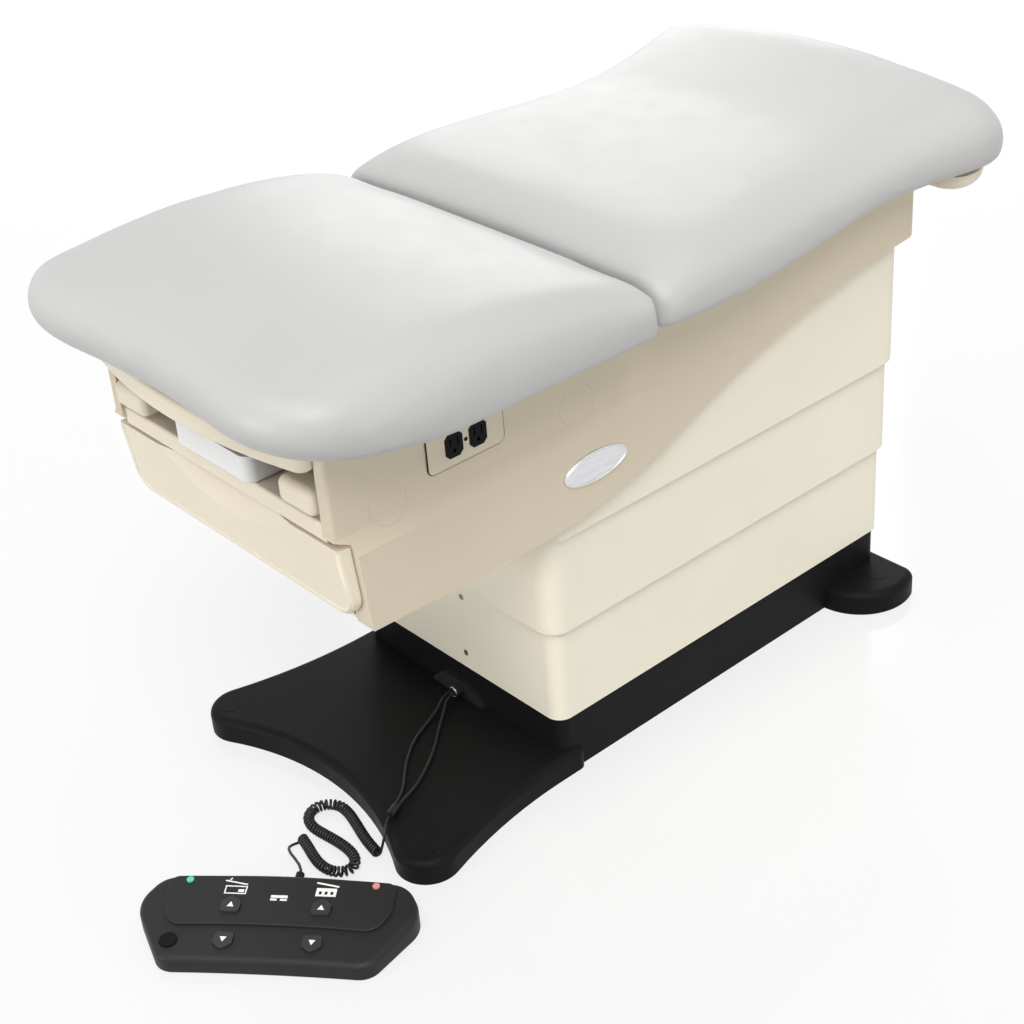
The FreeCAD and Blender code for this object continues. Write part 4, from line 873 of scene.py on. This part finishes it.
def frame_of(u0, v0, u1, v1, width):
    return [slab(u0, v0, u1, v0 + width), slab(u0, v1 - width, u1, v1),
            slab(u0, v0 + width, u0 + width, v1 - width), slab(u1 - width, v0 + width, u1, v1 - width)]


def print_marks(name, outlines, rise, body):
    shape = bmesh.new()
    for outline in outlines:
        ring = bmesh.ops.create_circle(shape, cap_ends=True, segments=len(outline), radius=0.01)["verts"]
        for vertex, (u, v) in zip(ring, outline):
            vertex.co = on_deck(u / 1000, v / 1000, rise - MARK_SINK)
        faces = list({face for vertex in ring for face in vertex.link_faces})
        grown = bmesh.ops.extrude_face_region(shape, geom=faces)["geom"]
        lifted = [item for item in grown if isinstance(item, bmesh.types.BMVert)]
        bmesh.ops.translate(shape, verts=lifted, vec=(0.0, 0.0, MARK_THICK))
    bmesh.ops.recalc_face_normals(shape, faces=shape.faces)
    return new_piece(name, shape, "white", body, smooth=False)


def arrow(u, v, way):
    foot = v - ARROW_FOOT * way
    return [(u - ARROW_HALF * way, foot), (u + ARROW_HALF * way, foot), (u, v + ARROW_TIP * way)]


back_symbol = frame_of(-77.0, 22.5, -46.5, 36.5, 1.7)
back_symbol += [slab(-58.0, 26.0, -50.0, 30.5), bar(-79.5, 45.2, -47.3, 39.3, 2.0),
                bar(-73.5, 46.2, -70.8, 49.8, 1.8)]
lift_symbol = [slab(49.0, 23.5, 77.0, 26.5), slab(49.0, 32.0, 77.0, 37.5), bar(47.6, 46.6, 78.9, 40.6, 2.6)]
lift_symbol += [slab(u, 26.5, u + 4.0, 32.0) for u in (49.0, 57.0, 65.0, 73.0)]
table_symbol = [slab(-11.0, 18.2, 12.0, 22.5), slab(-11.0, 13.5, -2.0, 16.6), slab(2.5, 13.5, 12.0, 16.6)]
print_marks("back_pictogram", back_symbol, PANEL_RISE, "base")
print_marks("lift_pictogram", lift_symbol, PANEL_RISE, "base")
print_marks("table_pictogram", table_symbol, PANEL_RISE, "base")
for side, way in (("left", -1), ("right", 1)):
    up = arrow(KEY_UP_ACROSS * way, KEY_UP_ALONG, 1)
    print_marks("arrow_up_" + side, [up], PANEL_RISE + KEY_RISE, f"key_up_{side}_body")
for side, way in (("left", -1), ("right", 1)):
    down = arrow(KEY_DOWN_ACROSS * way, KEY_DOWN_ALONG, -1)
    print_marks("arrow_down_" + side, [down], KEY_RISE, f"key_down_{side}_body")


# Small fittings

UNIT_TUBE = 0.1
GLAND_RING = 0.0078
GLAND_RING_TUBE = 0.0008
BADGE_RIM_IN = 0.0034
BADGE_RIM_TUBE = 0.0014
BADGE_RIM_SINK = 0.0002
SCREW_RADIUS = 0.0028
SCREW_DEPTH = 0.0012
SCREW_RISE = 0.0002
BEAD_SIDES = 10
CORNER_STEPS = 8
EDGING = 0.0010
OUTLET_CORNER = 0.009
DRAWER_LEAN = 0.013
DRAWER_CORNER = 0.034
RIM_IN = 0.0060
RIM_HALF = 0.0036
RIM_RISE = 0.0016


# An oval ring: a unit ring is spun first, then drawn to the oval
def hoop(name, middle, long_half, short_half, tube, slot, body, facing):
    shape = bmesh.new()
    lean = Matrix.Translation((1.0, 0.0, 0.0)) @ Matrix.Rotation(math.pi / 2, 4, "X")
    bmesh.ops.create_circle(shape, segments=10, radius=UNIT_TUBE, matrix=lean)
    bmesh.ops.spin(shape, geom=shape.verts[:] + shape.edges[:], cent=(0, 0, 0), axis=(0, 0, 1),
                   angle=2 * math.pi, steps=64, use_merge=True)
    for vertex in shape.verts:
        turn = math.atan2(vertex.co.y, vertex.co.x)
        out = (math.hypot(vertex.co.x, vertex.co.y) - 1.0) / UNIT_TUBE * tube
        normal = Vector((math.cos(turn) / long_half, math.sin(turn) / short_half)).normalized()
        vertex.co = Vector((long_half * math.cos(turn) + normal.x * out,
                            short_half * math.sin(turn) + normal.y * out, vertex.co.z / UNIT_TUBE * tube))
    bmesh.ops.transform(shape, matrix=Matrix.Translation(middle) @ facing, verts=shape.verts)
    bmesh.ops.recalc_face_normals(shape, faces=shape.faces)
    return new_piece(name, shape, slot, body)


def disc(name, middle, radius, depth, slot, body, facing):
    shape = bmesh.new()
    bmesh.ops.create_cone(shape, cap_ends=True, segments=24, radius1=radius, radius2=radius, depth=depth)
    rim = [edge for edge in shape.edges if all(vertex.co.z > 0 for vertex in edge.verts)]
    bmesh.ops.bevel(shape, geom=rim, offset=depth * 0.3, affect="EDGES", segments=2, profile=0.5, material=-1)
    bmesh.ops.transform(shape, matrix=Matrix.Translation(middle) @ facing, verts=shape.verts)
    return new_piece(name, shape, slot, body, smooth=False)


# A rounded bead: each station gives its middle, its half width and its half height
def bead(name, stations, closed, slot, body):
    shape = bmesh.new()
    rings = []
    for spot, across, rise in stations:
        ring = bmesh.ops.create_circle(shape, segments=BEAD_SIDES, radius=0.01)["verts"]
        for k, vertex in enumerate(ring):
            turn = 2 * math.pi * k / BEAD_SIDES
            vertex.co = spot + across * math.cos(turn) + rise * math.sin(turn)
        rings.append([edge for edge in shape.edges if all(vertex in ring for vertex in edge.verts)])
    for first, second in zip(rings, rings[1:] + rings[:1] if closed else rings[1:]):
        bmesh.ops.bridge_loops(shape, edges=first + second)
    if not closed:
        bmesh.ops.holes_fill(shape, edges=rings[0] + rings[-1], sides=0)
    bmesh.ops.recalc_face_normals(shape, faces=shape.faces)
    return new_piece(name, shape, slot, body)


def rounded(middle_a, middle_b, radius, start, end):
    turns = [math.radians(start + (end - start) * k / CORNER_STEPS) for k in range(CORNER_STEPS + 1)]
    return [(middle_a + radius * math.cos(turn), middle_b + radius * math.sin(turn), turn) for turn in turns]


# A black rubber bead around the outlet plate: a gasket whose black also paints the shadow in the gap at the
# plate's edge
def outlet_gasket_and_shadow_line():
    low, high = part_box("outlet_plate")
    left, right = low.y + OUTLET_CORNER, high.y - OUTLET_CORNER
    under, over = low.z + OUTLET_CORNER, high.z - OUTLET_CORNER
    line = rounded(right, over, OUTLET_CORNER, 0, 90) + rounded(left, over, OUTLET_CORNER, 90, 180)
    line += rounded(left, under, OUTLET_CORNER, 180, 270) + rounded(right, under, OUTLET_CORNER, 270, 360)
    outward = Vector((EDGING, 0.0, 0.0))
    stations = []
    for y, z, turn in line:
        across = Vector((0.0, math.cos(turn), math.sin(turn))) * EDGING
        stations.append((Vector(((low.x + high.x) / 2, y, z)), across, outward))
    bead("outlet_gasket_and_shadow_line", stations, True, "rubber", "carriage")


# The rim runs down the sides and along the bottom of the leaning drawer front
def drawer_rim():
    low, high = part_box("drawer_front")
    left, right, under = low.x + DRAWER_CORNER, high.x - DRAWER_CORNER, low.z + DRAWER_CORNER
    line = [(high.x - RIM_IN, high.z - RIM_IN, 0.0)]
    line += rounded(right, under, DRAWER_CORNER - RIM_IN, 0, -90)
    line += rounded(left, under, DRAWER_CORNER - RIM_IN, -90, -180)
    line += [(low.x + RIM_IN, high.z - RIM_IN, -math.pi)]
    slope = DRAWER_LEAN / (high.z - low.z)
    outward = Vector((0.0, -RIM_RISE, 0.0))
    stations = []
    for x, z, turn in line:
        across = Vector((math.cos(turn), -math.sin(turn) * slope, math.sin(turn))) * RIM_HALF
        stations.append((Vector((x, low.y + (high.z - z) * slope, z)), across, outward))
    bead("drawer_rim", stations, False, "tan", "drawer")


to_front = Matrix(((1, 0, 0), (0, 0, -1), (0, 1, 0))).to_4x4()
to_side = Matrix(((0, 0, 1), (1, 0, 0), (0, 1, 0))).to_4x4()
gland_low, gland_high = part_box("cord_gland")
gland_middle = (gland_low + gland_high) / 2
hoop("gland_ring", (gland_middle.x, gland_low.y, gland_middle.z), GLAND_RING, GLAND_RING, GLAND_RING_TUBE,
     "bright", "base", to_front)
badge_low, badge_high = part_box("badge")
badge_middle = (badge_low + badge_high) / 2
badge_half = (badge_high - badge_low) / 2
hoop("badge_rim", (badge_high.x - BADGE_RIM_SINK, badge_middle.y, badge_middle.z),
     badge_half.y - BADGE_RIM_IN, badge_half.z - BADGE_RIM_IN, BADGE_RIM_TUBE, "badge", "carriage", to_side)
outlet_gasket_and_shadow_line()
drawer_rim()
socket_low, socket_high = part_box("outlet_sockets")
socket_middle = (socket_low + socket_high) / 2
plate_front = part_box("outlet_plate")[1].x
disc("outlet_screw", (plate_front + SCREW_RISE, socket_middle.y, socket_middle.z), SCREW_RADIUS, SCREW_DEPTH,
     "outlet_black", "carriage", to_side)


# Scene update

bpy.context.view_layer.update()
